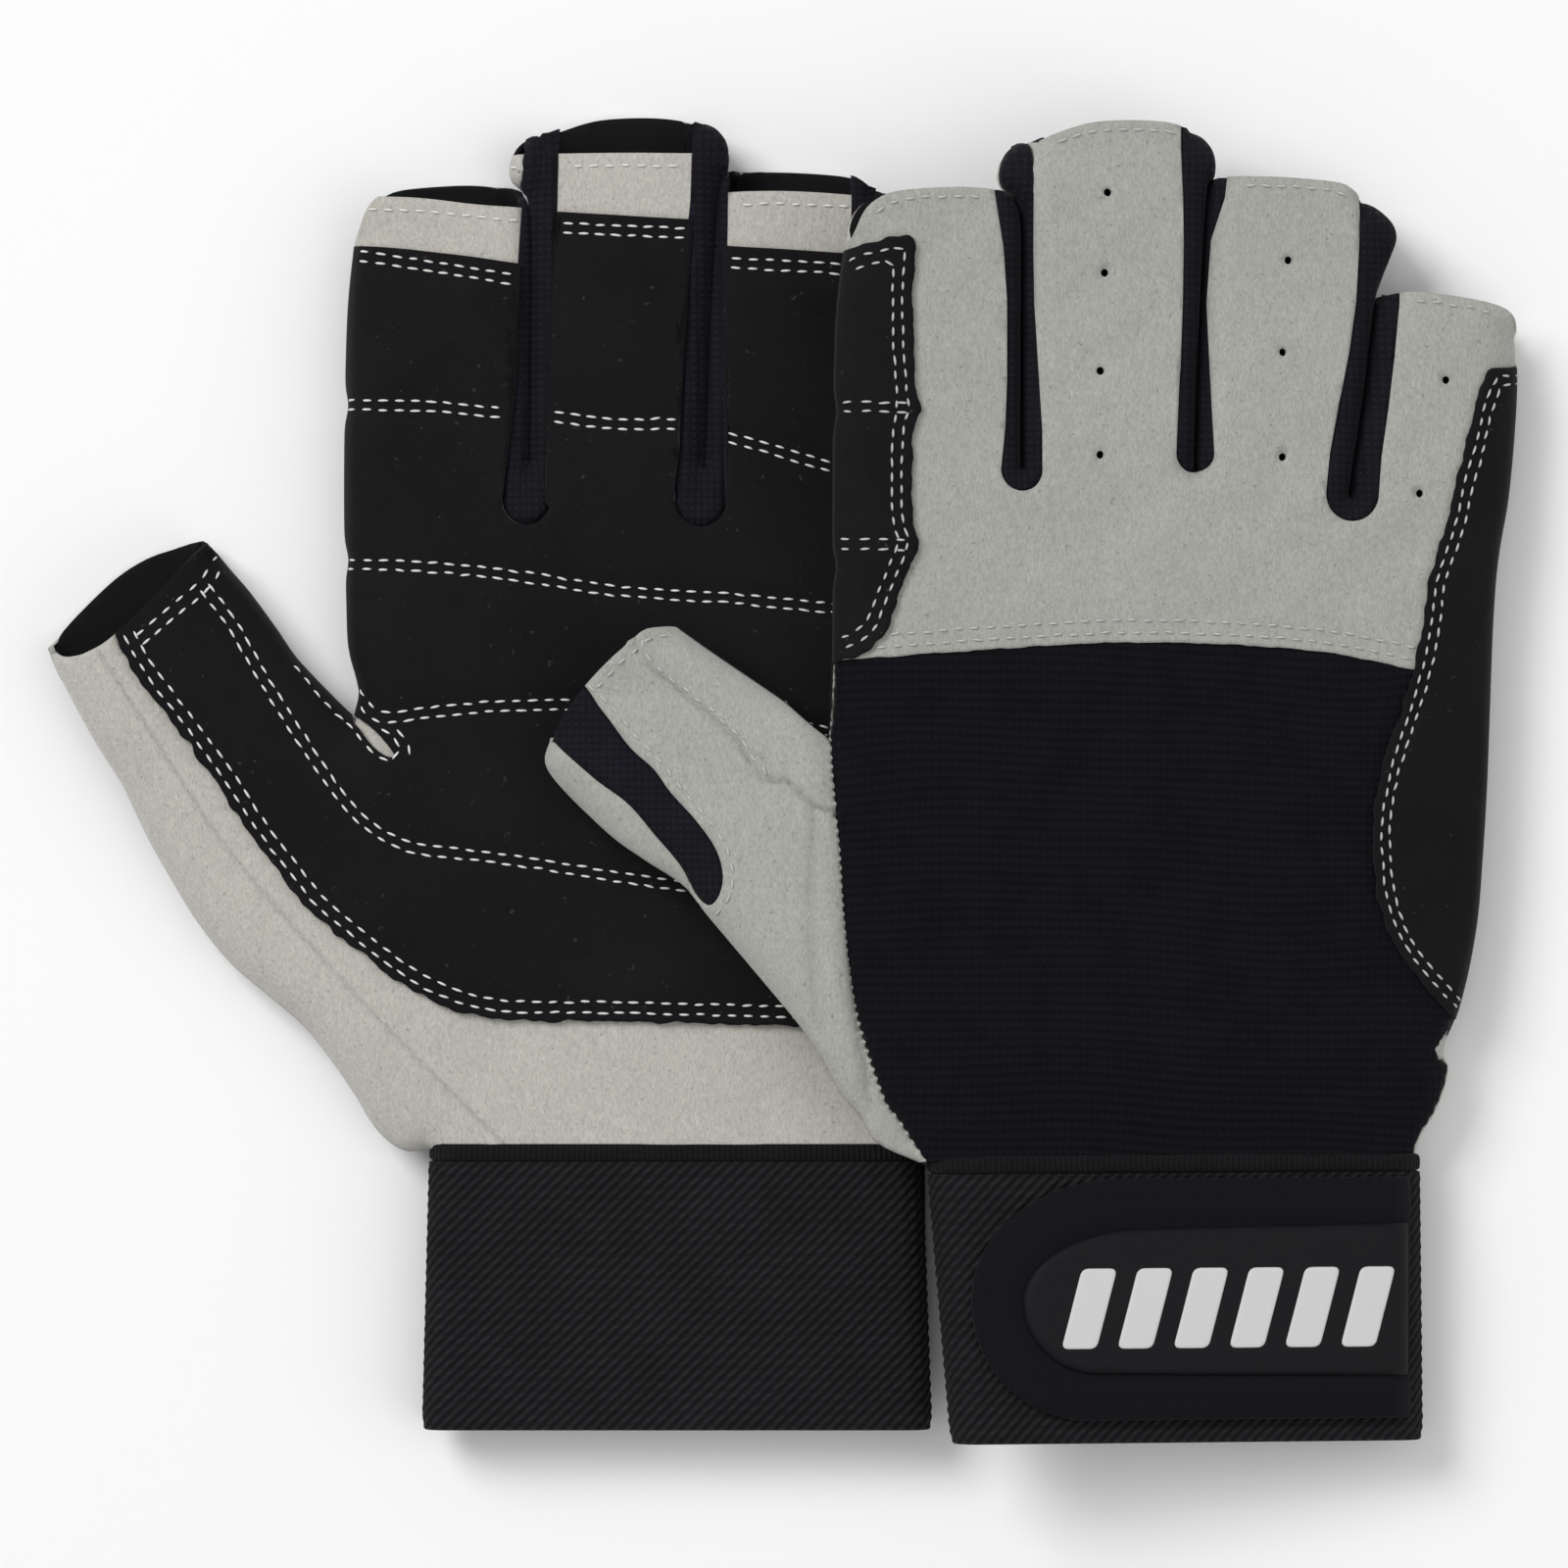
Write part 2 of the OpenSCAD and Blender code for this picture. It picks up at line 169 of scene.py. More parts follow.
# ---------------------------------------------------------------- panel edges on the back
# Edge of the knit back over the thumb's root, top to wrist
KNIT_FOLD = [(-50.2, 111.5), (-50.2, 104.0), (-50.4, 99.5), (-50.3, 93.8), (-49.1, 74.2), (-46.6, 60.2),
             (-43.0, 49.6), (-40.1, 45.4), (-36.6, 40.0)]
BACK_SEAM = [(-49.6, 111.2), (-47.2, 111.4), (-28.3, 112.8), (-10.0, 113.8), (6.7, 113.5), (20.7, 112.4),
             (33.3, 110.0), (60.0, 104.0)]
INDEX_WRAP = [(-49.0, 168.4), (-47.1, 169.7), (-44.5, 170.3), (-41.0, 171.2), (-39.6, 170.6), (-39.3, 168.6),
              (-39.5, 162.0), (-39.3, 154.0), (-38.9, 148.6), (-38.3, 146.7), (-39.3, 144.6), (-39.7, 137.9),
              (-39.5, 131.0), (-38.6, 127.6), (-40.4, 123.2), (-41.9, 118.8), (-42.9, 115.8), (-44.6, 113.4),
              (-47.0, 111.8), (-50.2, 110.6)]
CRESCENT = [(49.6, 153.2), (46.0, 153.1), (44.0, 152.6), (43.2, 150.4), (42.0, 147.0), (41.4, 144.0),
            (40.1, 139.6), (39.1, 135.7), (38.4, 131.8), (36.5, 126.4), (35.2, 122.4), (34.9, 118.5),
            (34.1, 113.6), (33.1, 109.4), (31.9, 105.4), (30.3, 100.8), (29.0, 97.4), (28.0, 93.4),
            (27.4, 89.6), (27.2, 86.0), (27.5, 82.0), (28.1, 77.4), (29.1, 73.9), (30.7, 70.7),
            (32.8, 67.4), (34.8, 64.9), (36.9, 62.7), (39.0, 60.8), (41.4, 59.6)]
# Bare suede in the notch below it
NOTCH = [(36.9, 55.8), (37.6, 54.4), (41.0, 54.0), (41.0, 58.2), (38.5, 57.8)]
# Knit gusset along the thumb's outer edge, and the two seams of the thumb
GUSSET = [(-94.6, 100.0), (-88.6, 108.6), (-84.1, 104.0), (-80.2, 98.9), (-76.8, 95.8), (-74.4, 92.5),
          (-70.7, 88.4), (-67.9, 84.4), (-66.9, 80.6), (-67.6, 77.7), (-69.3, 76.4), (-71.3, 77.9),
          (-73.2, 82.0), (-76.8, 86.4), (-80.5, 90.8), (-84.7, 93.9), (-88.6, 97.2), (-91.4, 99.6)]
GUSSET_ROW = [(-86.6, 108.0), (-82.7, 104.6), (-78.9, 99.9), (-75.6, 96.8), (-73.2, 93.4), (-69.5, 89.2),
              (-66.6, 85.0), (-65.4, 80.8), (-66.0, 77.2), (-68.6, 74.9)]
THUMB_SEAM = [(-79.4, 114.6), (-78.5, 111.4), (-74.1, 107.4), (-70.7, 104.8), (-65.9, 100.6), (-63.2, 97.0),
              (-61.3, 94.0), (-58.1, 94.1), (-56.2, 92.2), (-53.1, 90.2), (-50.2, 89.6)]
THUMB_FOLD = [(-53.7, 90.0), (-54.2, 81.0), (-54.1, 68.0), (-53.4, 58.0)]
UNDER_FOLD = [(-49.0, 88.0), (-48.2, 72.0), (-46.9, 60.0), (-45.2, 52.0), (-44.6, 47.0)]
VENTS = [(-11.3, 177.6), (-11.7, 166.2), (-12.3, 152.3), (-12.3, 140.4), (15.0, 168.2), (14.1, 155.1),
         (14.1, 140.2), (38.0, 151.3), (34.1, 135.1)]
VENT_RADIUS = 0.58
# Knit strips at the finger forks, upwards: u, v and half width
BACK_FORKS = [
    [(-23.6, 138.3, 3.1), (-23.3, 144, 2.8), (-23.4, 151, 2.45), (-23.7, 162, 2.2), (-24.0, 169.5, 2.4),
     (-24.7, 177.5, 2.9), (-25.0, 190, 3.2)],
    [(1.5, 140.7, 2.9), (1.5, 151, 2.45), (1.6, 162, 2.1), (2.0, 171, 2.3), (2.8, 177, 3.2), (3.4, 184, 4.1),
     (3.8, 192, 4.3)],
    [(24.3, 135.0, 3.9), (24.8, 140.5, 3.8), (26.0, 147.7, 3.7), (27.2, 155, 3.4), (28.1, 162, 3.25),
     (28.9, 170, 3.6), (29.5, 182, 3.9)],
]
PALM_FORKS = [[(-23.6, 132.7, 3.4), (-21.1, 190, 2.3)], [(1.3, 132.7, 3.7), (3.0, 192, 2.4)],
              [(25.4, 131.0, 3.4), (27.2, 158, 3.4), (27.1, 170, 4.3), (27.4, 182, 4.6)]]
# Lines between neighbouring fingers, upwards
FINGER_LIMITS = [[(-23.0, 139), (-23.0, 173.5), (-24.3, 177.1), (-27.0, 178.2)],
                 [(2.1, 139), (2.75, 158), (3.9, 177.6), (5.6, 180.6)],
                 [(24.8, 135), (26.65, 148), (28.4, 161.2), (32.5, 164.0)]]

# ---------------------------------------------------------------- panel edges on the palm
GRIP_LOW = [(60.0, 57.0), (42.0, 57.4), (16.1, 57.7), (-7.7, 58.4), (-24.5, 58.5), (-32.2, 59.6),
            (-37.1, 61.4), (-42.7, 64.6), (-49.8, 70.2), (-54.3, 74.0), (-58.5, 79.3), (-61.1, 82.6),
            (-64.8, 87.9), (-67.5, 92.0), (-70.5, 96.1), (-73.5, 100.3), (-77.6, 105.5), (-80.2, 109.3),
            (-82.3, 113.4)]
GRIP_TOPS = {
    "index": [(-60, 169.6), (-46.4, 169.1), (-35.0, 168.0), (-20.0, 165.8)],
    "middle": [(-24, 174.3), (-17.7, 173.9), (6.0, 172.5)],
    "ring": [(0.0, 169.4), (5.6, 169.1), (32.0, 167.4)],
    "little": [(24, 155.4), (60, 153.0)],
}
PALM_TIPS = {
    "index": [(-60, 176.2), (-45.0, 176.2), (-38, 175.9), (-30, 175.0), (-18.0, 174.2)],
    "middle": [(-30, 182.1), (-10, 182.4), (8.0, 182.2)],
    "ring": [(0.0, 176.6), (15, 176.9), (34.0, 175.4)],
    "little": [(24, 161.6), (60, 158.6)],
}
THUMB_LIP = {
    "left": [(-95.0, 112.9), (-92.0, 111.2), (-90.6, 110.4), (-88.7, 110.4), (-85.9, 111.3), (-82.3, 113.7),
             (-76.1, 119.8), (-69.7, 126.8), (-67.5, 129.5)],
    "right": [(-94.0, 99.6), (-86.0, 102.8), (-79.0, 109.4), (-72.0, 118.0)],
}
QUILT = [
    [(-52, 168.0), (-46.4, 167.6), (-24.5, 164.1), (-21, 163.6)],
    [(-21, 171.8), (-17.7, 171.6), (-1.0, 170.9), (4, 170.7)],
    [(3, 166.9), (5.8, 166.7), (21.8, 165.8), (31, 165.2)],
    [(28, 152.8), (52, 150.9)],
    [(-52, 146.5), (-38, 146.2), (-26.3, 145.2), (-19.8, 144.8), (-14, 143.9), (-7, 143.5), (-2.8, 143.7),
     (4.8, 142.0), (20.2, 137.5), (33, 135.0), (52, 133.5)],
    [(-52, 123.8), (-37.5, 123.2), (-25, 122.0), (-14.5, 120.4), (-6.7, 119.5), (5.8, 118.8), (19.4, 117.4),
     (34, 116.2), (52, 115.8)],
    [(-47.8, 106.0), (-46.9, 104.6), (-45.7, 102.7), (-44.2, 101.7), (-42.0, 101.7), (-37.1, 102.6),
     (-23.1, 103.6), (-9.1, 103.2), (6.3, 102.0), (20.3, 99.6), (34, 97.4), (50, 96.4)],
    [(-70.0, 120.6), (-66.7, 116.4), (-64.5, 113.0), (-62.4, 109.3), (-59.6, 104.8), (-57.0, 100.7),
     (-53.2, 95.0), (-50.6, 91.3), (-48.0, 88.1), (-45.0, 85.6), (-41.2, 83.6), (-37.1, 82.8), (-25.9, 81.5),
     (-11.9, 79.2), (2.0, 77.4), (18, 76.0), (34, 75.4), (50, 75.2)],
]
# Single rows round the crotch of the thumb, the hem at the thumb's tip, and the bare suede in the crotch
CROTCH_ROWS = [
    [(-42.3, 100.5), (-40.9, 99.4), (-40.3, 97.6), (-40.1, 95.8)],
    [(-44.4, 100.3), (-43.2, 99.8), (-42.0, 98.6), (-41.5, 96.9), (-42.7, 95.4), (-44.6, 96.1), (-46.8, 98.0),
     (-48.8, 99.8), (-51.6, 102.2), (-54.0, 104.8), (-57.5, 109.2)],
]
THUMB_HEM = {"left": [(-79.7, 113.2), (-76.0, 116.3), (-70.5, 120.9), (-68.0, 125.4)],
             "right": [(-84.6, 100.8), (-78.5, 106.4), (-73.0, 112.4)]}
CROTCH_LENS = [(-48.8, 102.2), (-46.9, 101.5), (-45.0, 99.9), (-43.3, 97.9), (-42.3, 96.2), (-43.6, 96.3),
               (-45.3, 97.5), (-46.9, 99.3), (-48.6, 101.0)]
PALM_FOLD = [(-84.4, 110.8), (-73.5, 93.9), (-66.7, 83.8), (-57.3, 72.5), (-42.0, 56.0), (-26.0, 40.0)]
PINCH_AT = (146.4, 124.4)
WRAP_QUILT = [[(-52, 147.2), (-39.9, 146.8)], [(-52, 127.7), (-40.1, 127.5)]]


# ---------------------------------------------------------------- plane geometry
def smooth(t):
    t = np.clip(t, 0, 1)
    return t * t * (3 - 2 * t)


def resample(path, step):
    """Points about a step apart along a path, its ends kept."""
    path = np.asarray(path, float)
    run = np.r_[0, np.cumsum(np.linalg.norm(np.diff(path, axis=0), axis=1))]
    count = max(2, int(round(run[-1] / step)) + 1)
    at = np.linspace(0, run[-1], count)
    return np.stack([np.interp(at, run, path[:, k]) for k in (0, 1)], 1)


def curve(points, step=0.9):
    """A smooth curve through the points."""
    p = np.asarray(points, float)
    if len(p) == 2:
        return resample(p, step)
    p = np.vstack([2 * p[0] - p[1], p, 2 * p[-1] - p[-2]])
    t = np.linspace(0, 1, 10, endpoint=False)[:, None]
    parts = []
    for a, b, c, d in zip(p[:-3], p[1:-2], p[2:-1], p[3:]):
        parts.append(0.5 * (2 * b + (c - a) * t + (2 * a - 5 * b + 4 * c - d) * t**2
                            + (3 * b - a - 3 * c + d) * t**3))
    return resample(np.vstack(parts + [p[-2:-1]]), step)


def shifted(path, d):
    """The path moved to its left by d."""
    along = np.gradient(np.asarray(path, float), axis=0)
    along /= np.linalg.norm(along, axis=1)[:, None]
    return path + np.reshape(d, (-1, 1)) * np.stack([-along[:, 1], along[:, 0]], 1)


def close_to(p, path, reach):
    """Which points are within reach of a path's bounding box."""
    return np.all((p > path.min(0) - reach) & (p < path.max(0) + reach), axis=1)


def inside(p, polygon):
    """Which points lie in a polygon."""
    p, q = np.asarray(p, float), np.asarray(polygon, float)
    hit = np.zeros(len(p), bool)
    box = np.flatnonzero(close_to(p, q, 0))
    x, y = p[box, 0], p[box, 1]
    found = np.zeros(len(box), bool)
    for (x0, y0), (x1, y1) in zip(q, np.roll(q, -1, axis=0)):
        if y0 != y1:
            found ^= ((y0 > y) != (y1 > y)) & (x < (x1 - x0) * (y - y0) / (y1 - y0) + x0)
    hit[box] = found
    return hit


def within(p, polygons):
    """Which points lie in any of the polygons."""
    return np.any([inside(p, polygon) for polygon in polygons], axis=0)


def nearest(p, path, reach=9.0):
    """Distance from each point to a path, positive to its left. Points out of reach get the reach itself."""
    path = np.asarray(path, float)
    found = np.full(len(p), float(reach))
    for k in range(0, len(path) - 1, 12):
        piece = path[k:k + 13]
        a, ab = piece[:-1], np.diff(piece, axis=0)
        length = (ab**2).sum(1) + 1e-12
        near = np.flatnonzero(close_to(p, piece, reach))
        q = p[near]
        best, sign = np.abs(found[near]), np.sign(found[near])
        for start, along, size in zip(a, ab, length):
            gap = q - start
            t = np.clip(gap @ along / size, 0, 1)
            cross = along[0] * gap[:, 1] - along[1] * gap[:, 0]
            d = np.hypot(gap[:, 0] - along[0] * t, gap[:, 1] - along[1] * t)
            better = d < best
            best[better] = d[better]
            sign[better] = np.where(cross[better] >= 0, 1, -1)
        found[near] = best * sign
    return found


def strip(spine, wider=0.0):
    """Outline of a strip with a round lower end, along points of (u, v, half width)."""
    spine = np.array(spine, float)
    middle, half = spine[:, :2], spine[:, 2:] + wider
    up = (middle[1] - middle[0]) / np.linalg.norm(middle[1] - middle[0])
    side = np.array([up[1], -up[0]])
    turn = np.linspace(0, math.pi, 16)[:, None]
    arc = middle[0] + half[0] * (side * np.cos(turn) - up * np.sin(turn))
    return np.vstack([(middle[1:] + half[1:] * side)[::-1], arc, middle[1:] - half[1:] * side])


def inner_row(path, inset):
    """A path shifted to its left by inset, without the loops that tight corners make."""
    moved = shifted(path, inset)
    return moved[np.abs(nearest(moved, path)) > 0.93 * abs(inset)]


def rounded(corners, radius):
    """A polygon with its corners rounded."""
    t = np.linspace(0, 1, 7)[:, None]
    path = []
    for before, corner, after in zip(np.roll(corners, 1, 0), corners, np.roll(corners, -1, 0)):
        a = corner + radius * (before - corner) / np.linalg.norm(before - corner)
        b = corner + radius * (after - corner) / np.linalg.norm(after - corner)
        path.append((1 - t) ** 2 * a + 2 * t * (1 - t) * corner + t**2 * b)
    return np.vstack(path)


def ripple(p, size, seed):
    """Slow random waves over the plane, between about -1 and 1."""
    made = np.random.default_rng(seed)
    total = np.zeros(len(p))
    for _ in range(7):
        angle, phase = made.uniform(0, 2 * math.pi, 2)
        wave = size * made.uniform(0.7, 1.6)
        total += np.sin(2 * math.pi * (p[:, 0] * math.cos(angle) + p[:, 1] * math.sin(angle)) / wave + phase)
    return total / 3.5


def rough(points, size=0.16, seed=1):
    """A smooth curve with the small unevenness of a cut edge."""
    path = curve(points, 0.5)
    return shifted(path, size * (ripple(path, 4.5, seed) + 0.8 * ripple(path, 1.9, seed + 1)))


def grid(low, high, step_u, step_v, stagger=0.5):
    """Points in rows over a box, every second row moved along by a share of the step."""
    u, v = np.meshgrid(np.arange(low[0], high[0], step_u), np.arange(low[1], high[1], step_v))
    u = u + (np.arange(u.shape[0]) % 2)[:, None] * step_u * stagger
    return np.stack([u.ravel(), v.ravel()], 1)


def triangulate(points, edges):
    """Triangles that fill the outline in the edges, with the points and edges in them."""
    cdt = geometry.delaunay_2d_cdt([Vector(p) for p in points], edges, [], 1, 1e-4, False)
    return np.array([tuple(v) for v in cdt[0]]), np.array(cdt[2], int)


def facing(p, tri, up):
    """The triangles, all turned counterclockwise in the plane, or clockwise if up is false."""
    a, b, c = (p[tri[:, k]] for k in range(3))
    turn = (b[:, 0] - a[:, 0]) * (c[:, 1] - a[:, 1]) - (b[:, 1] - a[:, 1]) * (c[:, 0] - a[:, 0])
    return np.where(((turn > 0) == up)[:, None], tri, tri[:, ::-1])


def rims(tri):
    """The edges that only one triangle has, each with the number of that triangle."""
    seen = {}
    for f, (i, j, k) in enumerate(tri.tolist()):
        seen.update({(i, j): f, (j, k): f, (k, i): f})
    return [(edge, f) for edge, f in seen.items() if edge[::-1] not in seen]


# ---------------------------------------------------------------- a glove and its two faces
class Glove:
    """One glove: its outline, and its place in the row frame."""

    def __init__(self, name):
        self.name = name
        self.palm_up = name == "left"
        self.u_axis = np.array(JOINTS[name + "_index_bend"]["axis"], float)
        self.v_axis = np.array([0.0, 1.0, 0.0])
        self.n_axis = np.cross(self.u_axis, self.v_axis) * (-1 if self.palm_up else 1)
        self.anchor = np.array(JOINTS[name + "_thumb_bend"]["pos_m"], float)
        self.anchor_n = 0.0 if self.palm_up else STACK
        self.droop = THUMB_DROOP[name]
        self.edges = [
            (True, curve(ULNAR)), (False, curve(LITTLE_TIP)), (True, curve(SLIT_RING, 0.7)),
            (False, curve(RING_TIP)), (True, curve(SLIT_MIDDLE, 0.7)), (False, curve(MIDDLE_TIP)),
            (True, curve(SLIT_INDEX, 0.7)), (False, curve(INDEX_TIP)), (True, curve(INDEX_EDGE[name])),
            (True, curve(THUMB_INNER[name])), (False, curve(THUMB_MOUTH[name])),
            (True, curve(THUMB_OUTER[name])), (False, resample([THUMB_OUTER[name][-1], ULNAR[0]], 1.2)),
        ]
        self.outline = np.vstack([path[:-1] for _, path in self.edges])
        self.fork_cutters = {BACK: [strip(f) for f in BACK_FORKS], PALM: [strip(f) for f in PALM_FORKS]}

    def world(self, uvn):
        """Glove points in millimetres, in metres in the row frame."""
        p = np.array(uvn, float)
        if self.droop:
            root = THUMB_BEND[0] - 5.2 * smooth((p[:, 1] - 82) / 17)
            thumb = (p[:, 1] < 100) | inside(p[:, :2], THUMB_LINE[self.name])
            turn = self.droop * smooth((root - p[:, 0]) / (THUMB_BEND[0] - THUMB_BEND[1])) * thumb
            du, dn = p[:, 0] - THUMB_PIVOT[0], p[:, 2] - THUMB_PIVOT[1]
            p[:, 0] = THUMB_PIVOT[0] + du * np.cos(turn) + dn * np.sin(turn)
            p[:, 2] = THUMB_PIVOT[1] - du * np.sin(turn) + dn * np.cos(turn)
        return (self.anchor + ((p[:, :1] - THUMB_PIVOT[0]) * self.u_axis + (p[:, 1:2] - PIVOT_V) * self.v_axis
                               + (p[:, 2:3] - self.anchor_n) * self.n_axis) * MM)

    def point(self, u, v, n):
        return tuple(self.world(np.array([[u, v, n]]))[0])

    def finger(self, p):
        """The part of PARTS that each point is on, as its number."""
        part = np.ones(len(p), int)
        for line in FINGER_LIMITS:
            u, v = zip(*line)
            part += p[:, 0] > np.interp(p[:, 1], v, u)
        part[p[:, 1] < FINGER_BEND[0] - 0.6] = 0
        return np.where(inside(p, THUMB_LINE[self.name]), 5, part)

    def bind(self, piece, part):
        """Ties a piece to the hand when it lies on the hand or its part has no body; any other piece only has
        its transform baked in.
        """
        body, hand = f"{self.name}_{PARTS[part]}", f"{self.name}_hand"
        if part == 0 or body not in frame["bodies"]:
            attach(piece, hand)
            return
        start, end = [(u, PIVOT_V) for u in THUMB_BEND] if part == 5 else [(-50, v) for v in FINGER_BEND]
        self.point(*start, MID)
        self.point(*end, MID)
        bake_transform(piece)


class Face:
    """The back or the palm of a glove: its plane mesh, lifted to its rounded surface."""

    def __init__(self, glove, side, cutters, rows=(), fine=None):
        self.glove, self.side = glove, side
        points, edges = [], []

        def add(path, joined=True, loop=False):
            first = len(points)
            points.extend(map(tuple, path))
            if joined:
                edges.extend((first + i, first + i + 1) for i in range(len(path) - 1))
                if loop:
                    edges.append((first + len(path) - 1, first))

        add(glove.outline, loop=True)
        for cutter in cutters:
            add(cutter)
        self.closed = [path for shut, path in glove.edges if shut]
        self.slopes = [1.9 if 0 < k < 4 else 1.0 for k in range(len(self.closed))]
        cells = {(round(u / 0.5), round(v / 0.5)) for u, v in points}

        def scatter(cloud, size):
            for p in cloud:
                cell = (round(p[0] / size), round(p[1] / size), size)
                near = (round(p[0] / 0.5), round(p[1] / 0.5))
                if cell not in cells and (size < 0.5 or near not in cells):
                    cells.update((cell, near))
                    points.append(tuple(p))

        for inset in EDGE_ROWS:
            for path in self.closed:
                ring = shifted(path, inset)[:: 2 if inset > 1.5 else 1]
                ring = ring[inside(ring, glove.outline)]
                scatter(ring[self.depth(ring) > inset * 0.93], 0.25 if inset < 0.8 else 0.6)
        for path, insets in rows:
            for inset in insets:
                ring = shifted(path, inset)
                scatter(ring[inside(ring, glove.outline)], 0.6)
        low, high = glove.outline.min(0), glove.outline.max(0)
        cloud = grid(low, high, FACE_STEP, FACE_STEP * 0.87)
        cloud = cloud[inside(cloud, glove.outline)]
        cloud = cloud[self.depth(cloud) > 1.0]
        if fine is not None:
            polygon, step_u, step_v = fine
            close = grid(polygon.min(0), polygon.max(0), step_u, step_v)
            close = close[inside(close, polygon) & inside(close, glove.outline)]
            points.extend(map(tuple, close[self.depth(close) > 0.5]))
            cloud = cloud[~inside(cloud, polygon)]
        scatter(cloud, 0.9)
        self.uv, self.tri = triangulate(points, edges)
        self.middle = self.uv[self.tri].mean(1)
        kept = inside(self.middle, glove.outline)
        self.tri, self.middle = self.tri[kept], self.middle[kept]
        self.part = glove.finger(self.middle)
        self.lift()
        self.tree = BVHTree.FromPolygons([(u, v, 0) for u, v in self.uv], self.tri.tolist())

    def depth(self, p):
        """How far each point is inside the sewn edges. Between the fingers the sides rise more steeply."""
        return np.min([np.abs(nearest(p, path)) * slope
                       for path, slope in zip(self.closed, self.slopes)], axis=0)

    def lift(self):
        """Raises the plane mesh to the glove's rounded surface."""
        p = self.uv
        d = self.depth(p)
        t = np.clip(d / ROUND, 0, 1)
        crown = (1 - (1 - t) ** 2.2) ** (1 / 2.2)
        crown[d < 1e-3] = 0
        rise = (BACK_RISE if self.side == BACK else PALM_RISE) * crown
        rise = rise + 0.30 * ripple(p, 34, 5 + self.side) * crown
        rise = rise + 0.16 * ripple(p, 13, 15 + self.side) * crown
        rise = rise - (2.3 if self.side == BACK else 0.4) * smooth((WRIST_V + 17 - p[:, 1]) / 17) * crown
        n = MID + self.side * (rise - self.dents(p) * crown)
        pinch = np.zeros(len(p))
        for v in PINCH_AT:
            pinch += 0.5 * np.exp(-((p[:, 1] - v) / 2.0) ** 2)
        on_edge = (p[:, 0] < -40) & (self.glove.finger(p) != 5)
        u = p[:, 0] + pinch * np.clip(1 - d / 6, 0, 1) * on_edge
        self.deep = d
        self.at = np.stack([u, p[:, 1], n], 1)
        self.normal = self.normals()

    def dents(self, p):
        """Creases in the surface: at the fork seams, the thumb's seams and folds, and across the heel."""
        sunk = np.zeros(len(p))
        for fork in BACK_FORKS if self.side == BACK else PALM_FORKS:
            gap = np.abs(nearest(p, resample(np.array(fork)[:, :2], 6)))
            sunk += 0.5 * np.exp(-(gap / 0.9) ** 2)
        if self.side == BACK:
            s = nearest(p, curve(KNIT_FOLD, 1.5), 80)
            near = smooth((p[:, 1] - 38) / 6) * smooth((113 - p[:, 1]) / 7)
            roll = 1 - np.clip(s / 4.5, 0, 1)
            hand = 3.0 * (1 - np.sqrt(np.clip(1 - roll**2, 0, 1)))
            thumb = 3.0 - 1.5 * (1 - np.exp(np.minimum(s, 0) / 2.2))
            sunk += np.where(s > 0, hand, thumb) * near
            q = nearest(p, curve(THUMB_SEAM, 1.5))
            sunk += 1.0 * np.exp(-(q / 0.42) ** 2) - 0.7 * np.exp(-((q - 0.9) / 0.7) ** 2)
            for fold, deep in ((THUMB_FOLD, 1.0), (UNDER_FOLD, 0.6)):
                q = nearest(p, curve(fold, 1.5))
                sunk += deep * np.exp(-(q / 0.7) ** 2)
        else:
            q = nearest(p, curve(PALM_FOLD, 0.7))
            sunk += 0.5 * np.exp(-(q / 0.14) ** 2) - 0.3 * np.exp(-((q + 1.3) / 1.1) ** 2)
        return sunk

    def normals(self):
        """Smooth normals, outwards from the glove, in the glove's frame."""
        a, b, c = (self.at[self.tri[:, k]] for k in range(3))
        flat = np.cross(b - a, c - a)
        flat *= np.where(flat[:, 2:3] * self.side < 0, -1, 1)
        total = np.zeros_like(self.at)
        for k in range(3):
            np.add.at(total, self.tri[:, k], flat)
        total /= np.maximum(np.linalg.norm(total, axis=1), 1e-9)[:, None]
        for path in self.closed:
            on_path = np.abs(nearest(self.uv, path, 1.0)) < 1e-3
            index = np.flatnonzero(on_path)
            outward = -shifted(path, 1.0) + path
            spot = np.argmin(((self.uv[index][:, None] - path[None]) ** 2).sum(2), axis=1)
            total[index, :2] = outward[spot]
            total[index, 2] = 0
        return total

    def surface(self, p, out):
        """Points and normals on the surface over plane points. out has each mesh point's height over it."""
        found, normals = [], []
        for u, v in p:
            _, _, i, _ = self.tree.ray_cast(Vector((u, v, 5)), Vector((0, 0, -1)))
            if i is None:
                found.append(None)
                normals.append(None)
                continue
            t = self.tri[i]
            a, b, c = self.uv[t]
            m = np.array([[a[0] - c[0], b[0] - c[0]], [a[1] - c[1], b[1] - c[1]]])
            w = np.linalg.solve(m, np.array([u, v]) - c)
            w = np.array([w[0], w[1], 1 - w.sum()])
            normal = w @ self.normal[t]
            found.append(w @ (self.at[t] + self.normal[t] * out[t][:, None]))
            normals.append(normal / np.linalg.norm(normal))
        return found, normals


# ---------------------------------------------------------------- meshes

